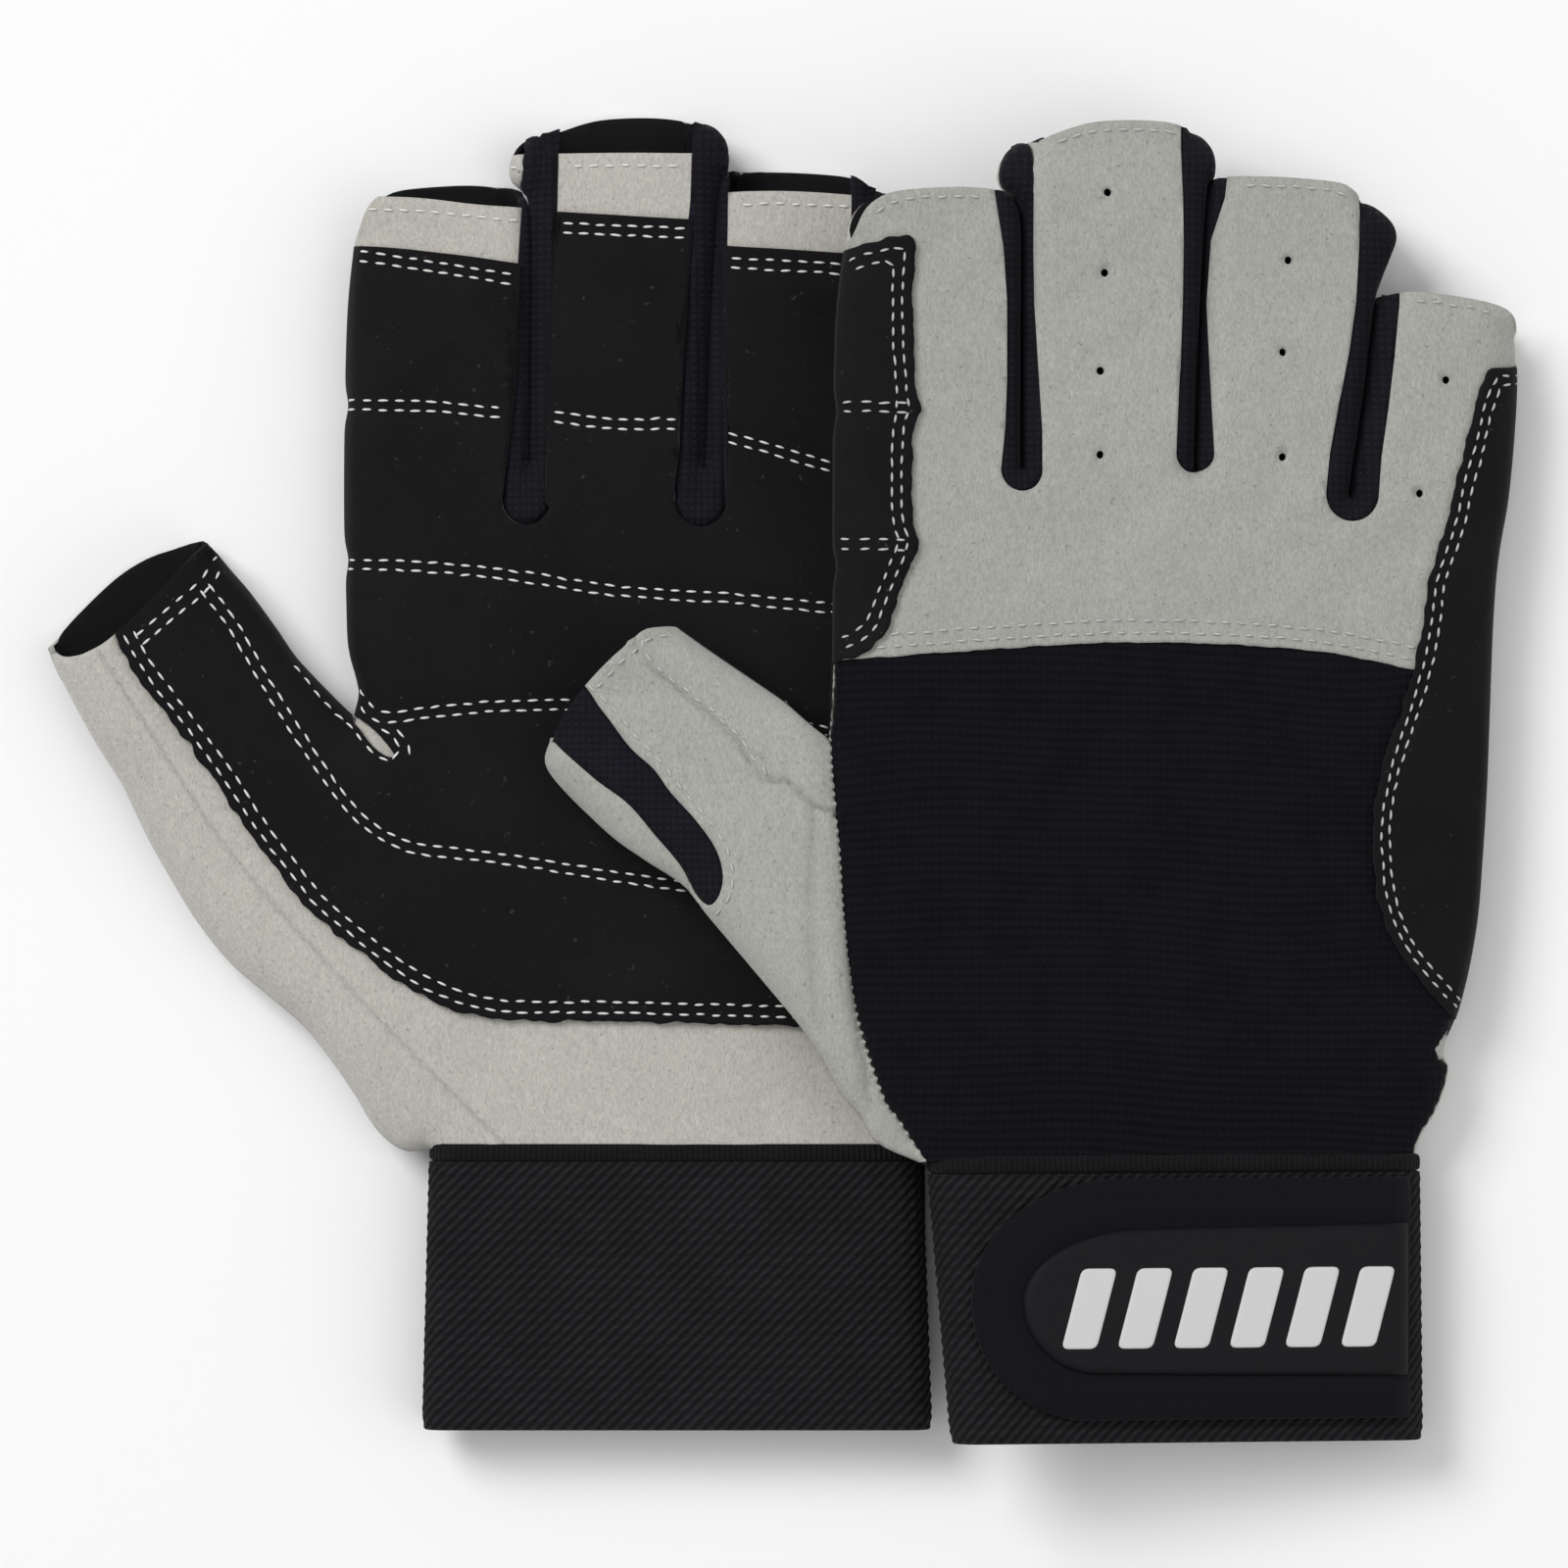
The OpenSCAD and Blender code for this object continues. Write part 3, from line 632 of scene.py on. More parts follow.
def make_mesh(name, points, faces, materials, indices=None, uv=None, turn=0.0):
    """A smooth mesh object from arrays, with a cloth map in millimetres. A tube's map is one turn long."""
    mesh = bpy.data.meshes.new(name)
    mesh.from_pydata([tuple(p) for p in points], [], faces)
    for material in materials:
        mesh.materials.append(material)
    mesh.shade_smooth()
    if indices is not None:
        mesh.polygons.foreach_set("material_index", np.asarray(indices, np.int32))
    if uv is not None:
        layer = mesh.uv_layers.new(name="cloth")
        loops = np.empty(len(mesh.loops), np.int32)
        mesh.loops.foreach_get("vertex_index", loops)
        at = np.asarray(uv)[loops]
        if turn:
            u = at[:, 0].reshape(-1, 4)
            at[:, 0] = (u + turn * (u.max(1, keepdims=True) - u > turn / 2)).ravel()
        layer.data.foreach_set("uv", (at * UV_SCALE).astype(np.float32).ravel())
    obj = bpy.data.objects.new(name, mesh)
    bpy.context.scene.collection.objects.link(obj)
    return obj


def stands_for(kind, *hand, parts=PARTS[1:]):
    """The CAD nodes that a panel stands for: the hand's own, and one of a kind on each finger."""
    return {"hand": hand, **{part: [f"{part}_{kind}"] for part in parts}}


def slab(face, label, keep, out, thick, material, inner, nodes, cloth=None):
    """Panels of one material over the kept triangles, one piece for each finger, thumb or hand."""
    glove = face.glove
    part = face.part[keep]
    used, tri = np.unique(face.tri[keep], return_inverse=True)
    tri = facing(face.uv[used], tri.reshape(-1, 3), (face.side == BACK) != glove.palm_up)
    out = np.broadcast_to(out, len(face.uv))[used, None]
    outer = face.at[used] + face.normal[used] * out
    under = face.at[used] + face.normal[used] * (out - thick)
    points = glove.world(np.vstack([outer, under]))
    cloth = (face.uv if cloth is None else cloth)[used]
    uv = np.vstack([cloth, cloth])
    count = len(used)
    edges = rims(tri)
    made = []
    for p in np.unique(part):
        mine = tri[part == p]
        sides = [(j, i, i + count, j + count) for (i, j), f in edges if part[f] == p]
        faces = mine.tolist() + (mine[:, ::-1] + count).tolist() + sides
        kinds = [0] * len(mine) + [1] * len(mine) + [0] * len(sides)
        ids = sorted({i for f in faces for i in f})
        number = {i: k for k, i in enumerate(ids)}
        faces = [[number[i] for i in f] for f in faces]
        name = f"{glove.name}_{label}_{PARTS[p]}"
        piece = make_mesh(name, points[ids], faces, [material, inner], kinds, uv[ids])
        glove.bind(piece, p)
        if nodes.get(PARTS[p]):
            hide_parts(*[f"{glove.name}_{node}" for node in nodes[PARTS[p]]])
        made.append(piece)
    return made


def stitch_shape():
    """One stitch, a short rounded thread whose ends dive into the cloth, along x."""
    along = np.array([-0.5, -0.42, -0.22, 0.0, 0.22, 0.42, 0.5]) * STITCH_LENGTH
    width = np.array([0.0, 0.50, 0.90, 1.0, 0.90, 0.50, 0.0]) * STITCH_WIDTH / 2
    height = np.array([-0.12, 0.0, 0.10, 0.13, 0.10, 0.0, -0.12])
    points, faces = [], []
    for x, r, z in zip(along[1:-1], width[1:-1], height[1:-1]):
        for k in range(6):
            turn = k * math.pi / 3
            points.append((x, r * math.cos(turn), z + 0.8 * r * math.sin(turn)))
    rings = len(along) - 2
    for i in range(rings - 1):
        for k in range(6):
            a, b = i * 6 + k, i * 6 + (k + 1) % 6
            faces.append((a, a + 6, b + 6, b))
    points += [(along[0], 0, height[0]), (along[-1], 0, height[-1])]
    for k in range(6):
        faces.append((len(points) - 2, k, (k + 1) % 6))
        last = (rings - 1) * 6
        faces.append((len(points) - 1, last + (k + 1) % 6, last + k))
    return np.array(points), faces


STITCH = stitch_shape()


class Rows:
    """Rows of stitches on a face, gathered by the part of the glove that they are on."""

    def __init__(self, face):
        self.face = face
        self.parts = {}
        self.noise = np.random.default_rng(31)

    def sew(self, path, out, keep=None, pitch=STITCH_PITCH):
        """One row along a path, on the surface raised by out, where keep allows it."""
        face, glove = self.face, self.face.glove
        path = resample(path, pitch)
        middle = (path[:-1] + path[1:]) / 2
        along = np.diff(path, axis=0)
        good = inside(middle, glove.outline)
        if keep is not None:
            good &= keep(middle)
        middle, along = middle[good], along[good]
        if not len(middle):
            return
        spots, normals = face.surface(middle, np.broadcast_to(out, len(face.uv)))
        ends, _ = face.surface(middle + along * 0.25, np.broadcast_to(out, len(face.uv)))
        parts = glove.finger(middle)
        shape, faces = STITCH
        for spot, normal, end, part in zip(spots, normals, ends, parts):
            if spot is None or end is None:
                continue
            x = end - spot
            x /= np.linalg.norm(x)
            y = np.cross(normal, x)
            y /= np.linalg.norm(y)
            z = np.cross(x, y)
            wobble = self.noise.normal(0, 1, 3)
            x = x + y * 0.05 * wobble[0]
            size = pitch / STITCH_PITCH + 0.07 * wobble[1]
            spot = spot + y * 0.05 * wobble[2] + z * 0.08
            points = spot + shape[:, :1] * x * size + shape[:, 1:2] * y + shape[:, 2:] * z
            have = self.parts.setdefault(int(part), ([], []))
            first = len(have[0]) * len(shape)
            have[0].append(points)
            flip = glove.palm_up
            have[1].extend(tuple(i + first for i in (f[::-1] if flip else f)) for f in faces)

    def finish(self, label, material):
        for part, (points, faces) in sorted(self.parts.items()):
            glove = self.face.glove
            name = f"{glove.name}_{label}_{PARTS[part]}"
            piece = make_mesh(name, glove.world(np.vstack(points)), faces, [material])
            glove.bind(piece, part)


# ---------------------------------------------------------------- materials
class Look:
    """A material in the making, with its nodes and the texture coordinates that they share."""

    def __init__(self, name):
        self.material = bpy.data.materials.new(name)
        self.material.use_nodes = True
        self.nodes = self.material.node_tree.nodes
        self.texture = self.nodes.new("ShaderNodeTexCoord")
        self.space = self.texture.outputs["Object"]

    def put(self, socket, value):
        """Links a socket to another one, or sets it to a constant."""
        if isinstance(value, bpy.types.NodeSocket):
            self.material.node_tree.links.new(value, socket)
        else:
            socket.default_value = value

    def node(self, kind, values, **settings):
        """A new node, with its settings and then its sockets by name or number."""
        made = self.nodes.new("ShaderNode" + kind)
        for name, value in settings.items():
            setattr(made, name, value)
        for socket, value in values.items():
            self.put(made.inputs[socket], value)
        return made

    def math(self, operation, *values):
        return self.node("Math", dict(enumerate(values)), operation=operation).outputs[0]

    def noise(self, scale, detail=3.0, roughness=0.6, space=None):
        values = {"Scale": scale, "Detail": detail, "Roughness": roughness}
        values["Vector"] = self.space if space is None else space
        return self.node("TexNoise", values).outputs["Fac"]

    def ramp(self, value, *stops):
        """A ramp between two stops, each a position with a colour or a grey."""
        made = self.node("ValToRGB", {"Fac": value})
        for stop, (position, colour) in zip(made.color_ramp.elements, stops):
            stop.position = position
            stop.color = (*np.broadcast_to(colour, 3), 1)
        return made.outputs["Color"]

    def mix(self, factor, a, b, kind="MULTIPLY"):
        """Colour a, multiplied by b or mixed with it."""
        made = self.node("Mix", {}, data_type="RGBA", blend_type=kind)
        for socket, value in (("Factor", factor), (6, a), (7, b)):
            self.put(made.inputs[socket], value)
        return made.outputs[2]

    def bump(self, height, strength, distance, before=None):
        values = {"Strength": strength, "Distance": distance, "Height": height}
        if before is not None:
            values["Normal"] = before
        return self.node("Bump", values).outputs["Normal"]

    def finish(self, base, roughness, normal=None, specular=0.12, sheen=0.0, sheen_roughness=0.5):
        """Sets the shader and gives the material."""
        shader = self.nodes["Principled BSDF"]
        for name, value in (("Base Color", base), ("Roughness", roughness), ("Specular IOR Level", specular),
                            ("Sheen Weight", sheen), ("Sheen Roughness", sheen_roughness),
                            ("Normal", normal)):
            if value is not None:
                self.put(shader.inputs[name], value)
        return self.material


def tone(colour, share):
    """A colour made lighter or darker."""
    return tuple(min(1.0, c * share) for c in colour)


def suede(name, colour):
    """Short-napped suede: fine fibre speckle, brushed clouds, and a nap that catches light at its edges."""
    look = Look(name)
    brushed = look.node("VectorMath", {0: look.space, 1: (1.0, 0.38, 1.0)}, operation="MULTIPLY").outputs[0]
    patches = look.noise(950, 4.0, 0.75, brushed)
    fibre = look.noise(3400, 3.0, 0.8, brushed)
    base = look.ramp(look.noise(70), (0.3, tone(colour, 0.97)), (0.7, tone(colour, 1.03)))
    base = look.mix(0.8, base, look.ramp(look.noise(1500, 2.0), (0.27, (0.60, 0.59, 0.57)), (0.36, 1.0)))
    base = look.mix(1.0, base, look.ramp(patches, (0.32, 0.92), (0.7, 1.05)))
    base = look.mix(0.8, base, look.ramp(fibre, (0.30, (0.70, 0.70, 0.69)), (0.72, (1.20, 1.20, 1.21))))
    soft = look.bump(patches, 0.35, 0.0003)
    return look.finish(base, 0.95, look.bump(fibre, 0.55, 0.00012, soft), sheen=0.35, sheen_roughness=0.55)


def grip_cloth():
    """Black synthetic suede: dense and even, with a few flecks of lint."""
    look = Look("black_grip")
    fibre = look.noise(3200, 3.0, 0.8)
    base = look.ramp(look.noise(60), (0.3, (0.0053, 0.0053, 0.0062)), (0.7, (0.0076, 0.0076, 0.0086)))
    base = look.mix(0.8, base, look.ramp(fibre, (0.3, 0.7), (0.75, 1.5)))
    flecks = look.ramp(look.noise(900, 2.0, 0.5), (0.71, 0.0), (0.76, 1.0))
    base = look.mix(flecks, base, (0.03, 0.03, 0.03, 1), "MIX")
    return look.finish(base, 0.88, look.bump(fibre, 0.5, 0.00012), sheen=0.04, sheen_roughness=0.45)


def woven(name, colour, waves, contrast, relief=0.00025):
    """Black knit or woven cloth, with painted shade in the troughs between its loops and a painted highlight
    on their crests. A wave of its threads is (loops per mm along u, the same along v, depth).
    """
    look = Look(name)
    height = 1.0
    for across, along, depth in waves:
        loops = (2 * math.pi * across / UV_SCALE, 2 * math.pi * along / UV_SCALE, 0)
        turn = look.node("VectorMath", {0: look.texture.outputs["UV"], 1: loops}, operation="DOT_PRODUCT")
        wave = look.math("COSINE", turn.outputs["Value"])
        height = look.math("MULTIPLY", height, look.math("MULTIPLY_ADD", wave, depth / 2, 1 - depth / 2))
    fibre = look.noise(3000, 3.0, 0.75)
    # Painted shade and painted highlight: colour darker in the troughs of the loops and lighter on their
    # crests, by contrast
    base = look.ramp(height, (0.0, tone(colour, 1 - contrast)), (0.75, tone(colour, 1 + contrast)))
    base = look.mix(1.0, base, look.ramp(look.noise(140), (0.3, 0.85), (0.7, 1.12)))
    base = look.mix(0.7, base, look.ramp(fibre, (0.3, 0.6), (0.75, 1.6)))
    raised = look.bump(height, 0.7, relief)
    return look.finish(base, 0.9, look.bump(fibre, 0.4, 0.0001, raised), sheen=0.03, sheen_roughness=0.4)


def thread_cloth(name, colour, roughness, contrast=1.0):
    """Twisted thread, brushed strap cloth or smooth print, by its colour and contrast."""
    look = Look(name)
    fibre = look.noise(4000, 3.0, 0.7)
    base = look.ramp(fibre, (0.3, tone(colour, 1 - 0.22 * contrast)),
                     (0.7, tone(colour, 1 + 0.08 * contrast)))
    return look.finish(base, roughness, look.bump(fibre, 0.4, 0.00008), sheen=0.03)


def rubber():
    """Soft black rubber: even, satin, with a faint moulded grain."""
    look = Look("patch_rubber")
    smears = look.noise(160)
    base = look.ramp(smears, (0.3, (0.0048, 0.0046, 0.0060)), (0.7, (0.0066, 0.0063, 0.0081)))
    satin = look.ramp(smears, (0.3, 0.60), (0.7, 0.72))
    return look.finish(base, satin, look.bump(look.noise(5000, 2.0), 0.25, 0.00005), specular=0.16)


def floor_finish():
    """A plain pale sweep."""
    return Look("pale_floor").finish((0.93, 0.93, 0.93, 1), 0.9, specular=0.1)


BACK_SUEDE = suede("back_suede", (0.394, 0.390, 0.362))
PALM_SUEDE = suede("palm_suede", (0.498, 0.479, 0.437))
GRIP = grip_cloth()
RIBS = 0.77
BACK_KNIT = woven("back_knit", (0.0041, 0.0038, 0.0062), [(0, RIBS, 1), (1.03, 0, 0.7)], 0.25, 0.0002)
SIDE_KNIT = woven("side_knit", (0.0088, 0.0081, 0.0124), [(1.0, 0, 1), (0, 0.95, 1)], 0.26, 0.0002)
STRAP_CLOTH = thread_cloth("strap_cloth", (0.0049, 0.0046, 0.0069), 0.85)
LINING = thread_cloth("black_lining", (0.0075, 0.0075, 0.0085), 0.9)
THREAD = thread_cloth("white_thread", (0.78, 0.78, 0.75), 0.6)
BACK_THREAD = thread_cloth("grey_thread", (0.54, 0.54, 0.52), 0.7)
PRINT = thread_cloth("white_print", (0.62, 0.62, 0.62), 0.45, 0.1)
RUBBER = rubber()


# ---------------------------------------------------------------- the panels of one glove
def near_path(face, path, reach):
    """How close each mesh point is to a path: 1 on it, 0 beyond reach."""
    return 1 - smooth(np.abs(nearest(face.uv, path, reach + 1)) / reach)


def finger_cut(middle, part, lines):
    """Which triangles lie beyond a line across their own finger."""
    beyond = np.zeros(len(middle), bool)
    for k, name in enumerate(FINGERS):
        line = np.array(lines[name], float)
        over = middle[:, 1] > np.interp(middle[:, 0], line[:, 0], line[:, 1])
        beyond |= over & (part == k + 1)
    return beyond


def region(path, *corners):
    return np.vstack([path, np.array(corners, float)])


def roll(face, strips, low, high):
    """How far a fork's knit stands out: a soft roll between its two edges, held back in the slit."""
    edge = np.min([np.abs(nearest(face.uv, np.vstack([f, f[:1]]), 3.0)) for f in strips], axis=0)
    rise = low + (high - low) * np.sqrt(np.clip(1 - (1 - np.clip(edge / 1.5, 0, 1)) ** 2, 0, 1))
    return 0.1 + (rise - 0.1) * smooth(face.deep / 0.7)


def held_in(face, out):
    """A raised panel's height, held down where it is sewn in at the glove's edge."""
    return 0.4 + (out - 0.4) * smooth(face.deep / 2.2)


def back_face(glove):
    """The back: suede over the fingers and knuckles, knit below, and the two black wraps."""
    seam = rough(BACK_SEAM, 0.07, 12)
    fold = curve(KNIT_FOLD, 0.25)
    fold = shifted(fold, 0.08 * np.cos(2 * math.pi * fold[:, 1] * RIBS))
    wrap, crescent = rough(INDEX_WRAP, 0.16, 2), rough(CRESCENT, 0.16, 5)
    gusset = curve(GUSSET)
    knit_area = region(seam, (60, 30), (KNIT_FOLD[-1][0], 30), *fold[::-1])
    wrap_area = region(wrap, (-60, 110.6), (-60, 168.4))
    crescent_area = region(crescent, (60, 60), (60, 153.3))
    turn = np.linspace(0, 2 * math.pi, 13)
    circle = VENT_RADIUS * np.stack([np.cos(turn), np.sin(turn)], 1)
    vents = [np.array(centre) + circle for centre in VENTS]
    ribs = (knit_area, 1.1 * COARSE, 0.3 * COARSE)
    rows = [(curve(THUMB_SEAM), (-0.9, -0.4, 0.0, 0.4, 0.9, 1.5)), (fold, (0.5, 1.2, 2.2, -0.6, -1.4, -2.6)),
            (curve(THUMB_FOLD), (-0.6, 0.0, 0.6)), (curve(UNDER_FOLD), (-0.6, 0.0, 0.6)),
            (curve(BACK_SEAM), (0.5, 1.2, 2.0, 2.8))]
    cutters = [seam, fold, wrap, crescent, gusset, NOTCH, *glove.fork_cutters[BACK], *vents]
    face = Face(glove, BACK, cutters, rows, ribs)
    c, part = face.middle, face.part
    thumb = part == 5
    forks = within(c, glove.fork_cutters[BACK])
    in_gusset = inside(c, gusset) & thumb
    holes = within(c, vents)
    in_wrap = inside(c, wrap_area) & ~thumb & ~forks
    in_crescent = inside(c, crescent_area) & ~forks
    knit = inside(c, knit_area) & ~forks & ~inside(c, NOTCH)
    leather = ~(knit | forks | in_gusset | holes)

    slab(face, "back_suede", leather, BACK_OUT, SUEDE_THICK, BACK_SUEDE, LINING,
         stands_for("stall", "back_suede"))
    flow = face.uv[:, 1] + 1.1 * np.sin(face.uv[:, 0] / 19) + 0.5 * ripple(face.uv, 25, 3)
    ribbed = -0.05 + 0.09 * np.cos(2 * math.pi * flow * RIBS)
    slab(face, "back_knit", knit, ribbed, KNIT_THICK, BACK_KNIT, BACK_KNIT, {"hand": ["back_knit"]},
         np.column_stack([face.uv[:, 0], flow]))
    rolled = roll(face, glove.fork_cutters[BACK], -0.15, 0.3)
    slab(face, "side_knit_back", forks, rolled, WEB_THICK, SIDE_KNIT, LINING,
         stands_for("fourchette", "fork_webs", parts=FINGERS))
    slab(face, "thumb_gusset", in_gusset, GUSSET_OUT, WEB_THICK, SIDE_KNIT, LINING,
         {"thumb": ["thumb_knit"]})

    quilted = np.max([near_path(face, curve(q), 2.4) for q in WRAP_QUILT], axis=0)
    hem = near_path(face, shifted(wrap, -2.2), 1.5)
    index_out = held_in(face, WRAP_OUT - 0.35 * np.maximum(quilted, 0.8 * hem))
    slab(face, "index_wrap", in_wrap, index_out, WRAP_THICK, GRIP, GRIP, {"hand": ["index_side"]})
    hem = near_path(face, shifted(crescent, 1.7), 1.4)
    ulnar_out = held_in(face, WRAP_OUT - 0.3 * hem)
    slab(face, "ulnar_wrap", in_crescent, ulnar_out, WRAP_THICK, GRIP, GRIP, {"hand": ["ulnar_side"]})

    stitches = Rows(face)
    covers = [wrap_area, crescent_area, *(strip(f, 0.9) for f in BACK_FORKS)]

    def bare(p):
        return ~within(p, covers)

    def on_wrap(p):
        return inside(p, wrap_area)

    for inset in (1.5, 2.9):
        stitches.sew(inner_row(curve(INDEX_WRAP), -inset), index_out, on_wrap, WRAP_PITCH)
    for inset in (1.1, 2.3):
        stitches.sew(inner_row(curve(CRESCENT), inset), ulnar_out, lambda p: inside(p, crescent_area),
                     CRESCENT_PITCH)
    for line in WRAP_QUILT:
        for offset in QUILT_ROWS:
            stitches.sew(shifted(curve(line), offset), index_out, on_wrap)
    for inset in (1.4, 3.1):
        stitches.sew(shifted(curve(BACK_SEAM), inset), BACK_OUT, bare)
    for tip in (LITTLE_TIP, RING_TIP, MIDDLE_TIP, INDEX_TIP):
        stitches.sew(shifted(curve(tip), 1.3), BACK_OUT, lambda p: bare(p) & (face.depth(p) > 5))
    stitches.sew(shifted(curve(THUMB_MOUTH[glove.name]), 1.3), BACK_OUT, lambda p: ~inside(p, gusset))
    stitches.sew(curve(GUSSET_ROW), BACK_OUT)
    stitches.sew(shifted(curve(THUMB_SEAM[:7]), 1.0), BACK_OUT)
    stitches.finish("back_stitches", BACK_THREAD)


def palm_face(glove):
    """The palm: pale suede, with the quilted black grip over most of it."""
    low = rough(GRIP_LOW, 0.2, 9)
    lip = curve(THUMB_LIP[glove.name])
    tops = {k: curve(v) for k, v in GRIP_TOPS.items()}
    tips = {k: curve(v) for k, v in PALM_TIPS.items()}
    quilt = [curve(q) for q in QUILT]
    hem = curve(THUMB_HEM[glove.name])

    def across(lines, name):
        """The part of a line that lies on its own finger."""
        line = lines[name]
        return line[glove.finger(line) == PARTS.index(name)]

    lens = curve(CROTCH_LENS + CROTCH_LENS[:1], 0.6)[:-1]
    fold = curve(PALM_FOLD, 0.7)
    cutters = [low, lip, *glove.fork_cutters[PALM], lens]
    cutters += [shifted(fold, offset) for offset in (-0.28, 0.0, 0.28)]
    cutters += [across(lines, k) for lines in (tops, tips) for k in FINGERS]
    rows = [(q, (-3.2, -2.0, -1.1, -0.4, 0.4, 1.1, 2.0, 3.2)) for q in quilt]
    rows += [(low, (-0.6, -1.6, -2.6, -3.8)), (fold, (-1.3, -0.8, 0.8))]
    face = Face(glove, PALM, cutters, rows)
    c, part = face.middle, face.part
    forks = within(c, glove.fork_cutters[PALM])
    thumb = part == 5
    past_lip = inside(c, region(lip, (-60, 140), (-110, 140), (-110, 112.9)))
    beyond = finger_cut(c, part, tips) | (thumb & past_lip)
    below = inside(c, region(low, (-84, 120), (-110, 120), (-110, 20), (60, 20)))
    gripped = ~below & ~finger_cut(c, part, tops) & ~forks & ~beyond & ~inside(c, lens)

    hidden = gripped & thumb & (np.abs(nearest(c, lip)) < 3)
    slab(face, "palm_suede", ~forks & ~beyond & ~hidden, PALM_OUT, SUEDE_THICK, PALM_SUEDE, LINING,
         {"hand": ["palm_suede", "palm_foam"]})
    rolled = roll(face, glove.fork_cutters[PALM], 0.1, 0.9)
    slab(face, "side_knit_palm", forks, rolled, SUEDE_THICK, SIDE_KNIT, LINING, {})
    near = np.max([near_path(face, q, 3.4) for q in quilt], axis=0)
    sewn = np.maximum(near_path(face, shifted(low, -1.9), 1.9), near_path(face, hem, 2.2))
    puffed = held_in(face, GRIP_OUT - 0.55 * np.maximum(near, 0.8 * sewn) + 0.10 * ripple(face.uv, 9, 44))
    pieces = slab(face, "grip", gripped, puffed, KNIT_THICK, GRIP, GRIP,
                  stands_for("grip", "palm_grip"))

    stitches = Rows(face)
    bare = [lens, *(strip(f, 0.7) for f in PALM_FORKS)]

    def clear(p):
        return ~within(p, bare)

    for line in quilt:
        for offset in QUILT_ROWS:
            stitches.sew(shifted(line, offset), puffed, clear)
    for inset in (-1.2, -1.2 - HEM_GAP):
        stitches.sew(shifted(curve(GRIP_LOW), inset), puffed, clear)
    for offset in (0.0, -HEM_GAP):
        stitches.sew(shifted(hem, offset), puffed)
    for row in CROTCH_ROWS:
        stitches.sew(curve(row), puffed)
    for k in FINGERS:
        stitches.sew(shifted(across(tips, k), -1.8), PALM_OUT, clear)
    stitches.finish("palm_stitches", THREAD)


# ---------------------------------------------------------------- cuff and strap
CUFF_LENGTH = 38.4
# Middle level and half thickness of the cuff, and of the overlocked seam above it
CUFF_N, CUFF_HALF = 4.4, 3.8
SEAM_N, SEAM_HALF = 4.5, 4.1
CUFF_EDGES = {"left": ((-38.5, 34.3), (-37.5, 32.9)), "right": ((-32.6, 35.8), (-36.0, 35.4))}
# How long the cuff is once round, and how long its cloth map is
CUFF_ROUND, TURN = 155, 156.0
# Elastic: cords that run up to the right, counted round the tube, in level rows
CORDS = 91
CORD_RISE, ROW_RISE = -0.62, 0.62
ELASTIC = woven("cuff_elastic", (0.0116, 0.0113, 0.0131), [(CORDS / TURN, CORD_RISE, 1), (0, ROW_RISE, 0.55)],
                0.5, 0.0003)
WRAPS = 1.25
EDGING = woven("wrist_edging", (0.0075, 0.0073, 0.0083), [(WRAPS, 0, 1)], 0.16)


def oval(count, left, right, centre_n, half):
    """Points, outward directions and lengths round a flat oval between two edges."""
    flat = right - left - 2 * half
    total = 2 * flat + 2 * math.pi * half
    s = np.arange(count) * total / count
    u, n = np.empty(count), np.empty(count)
    out = np.zeros((count, 2))
    for k, x in enumerate(s):
        if x < flat:
            u[k], n[k], out[k] = left + half + x, half, (0, 1)
        elif x < flat + math.pi * half:
            t = math.pi / 2 - (x - flat) / half
            out[k] = (math.cos(t), math.sin(t))
            u[k], n[k] = right - half + half * out[k, 0], half * out[k, 1]
        elif x < 2 * flat + math.pi * half:
            u[k], n[k], out[k] = right - half - (x - flat - math.pi * half), -half, (0, -1)
        else:
            t = -math.pi / 2 - (x - 2 * flat - math.pi * half) / half
            out[k] = (math.cos(t), math.sin(t))
            u[k], n[k] = left + half + half * out[k, 0], half * out[k, 1]
    return u, n + centre_n, out, s, total


def tube(glove, name, count, levels, raise_by, material, centre_n, half):
    """A closed cloth tube round the wrist. levels has (v, depth below its outside) down and back up."""
    (low_l, low_r), (top_l, top_r) = CUFF_EDGES[glove.name]
    points, uv = [], []
    for v, sunk in levels:
        share = v / CUFF_LENGTH
        left, right = low_l + (top_l - low_l) * share, low_r + (top_r - low_r) * share
        u, n, out, s, total = oval(count, left, right, centre_n, half)
        s = s * TURN / total
        s = TURN - s if glove.palm_up else s
        lift = raise_by(s, v) * (sunk <= 0.05) - sunk
        points.append(np.stack([u + out[:, 0] * lift, np.full(count, v), n + out[:, 1] * lift], 1))
        uv.append(np.stack([s, np.full(count, v)], 1))
    rings = len(points)
    faces = []
    for i in range(rings):
        j = (i + 1) % rings
        for k in range(count):
            m = (k + 1) % count
            quad = (i * count + k, i * count + m, j * count + m, j * count + k)
            faces.append(quad if glove.palm_up else quad[::-1])
    piece = make_mesh(f"{glove.name}_{name}", glove.world(np.vstack(points)), faces, [material],
                      uv=np.vstack(uv), turn=TURN)
    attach(piece, f"{glove.name}_hand")
    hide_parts(f"{glove.name}_{name}")


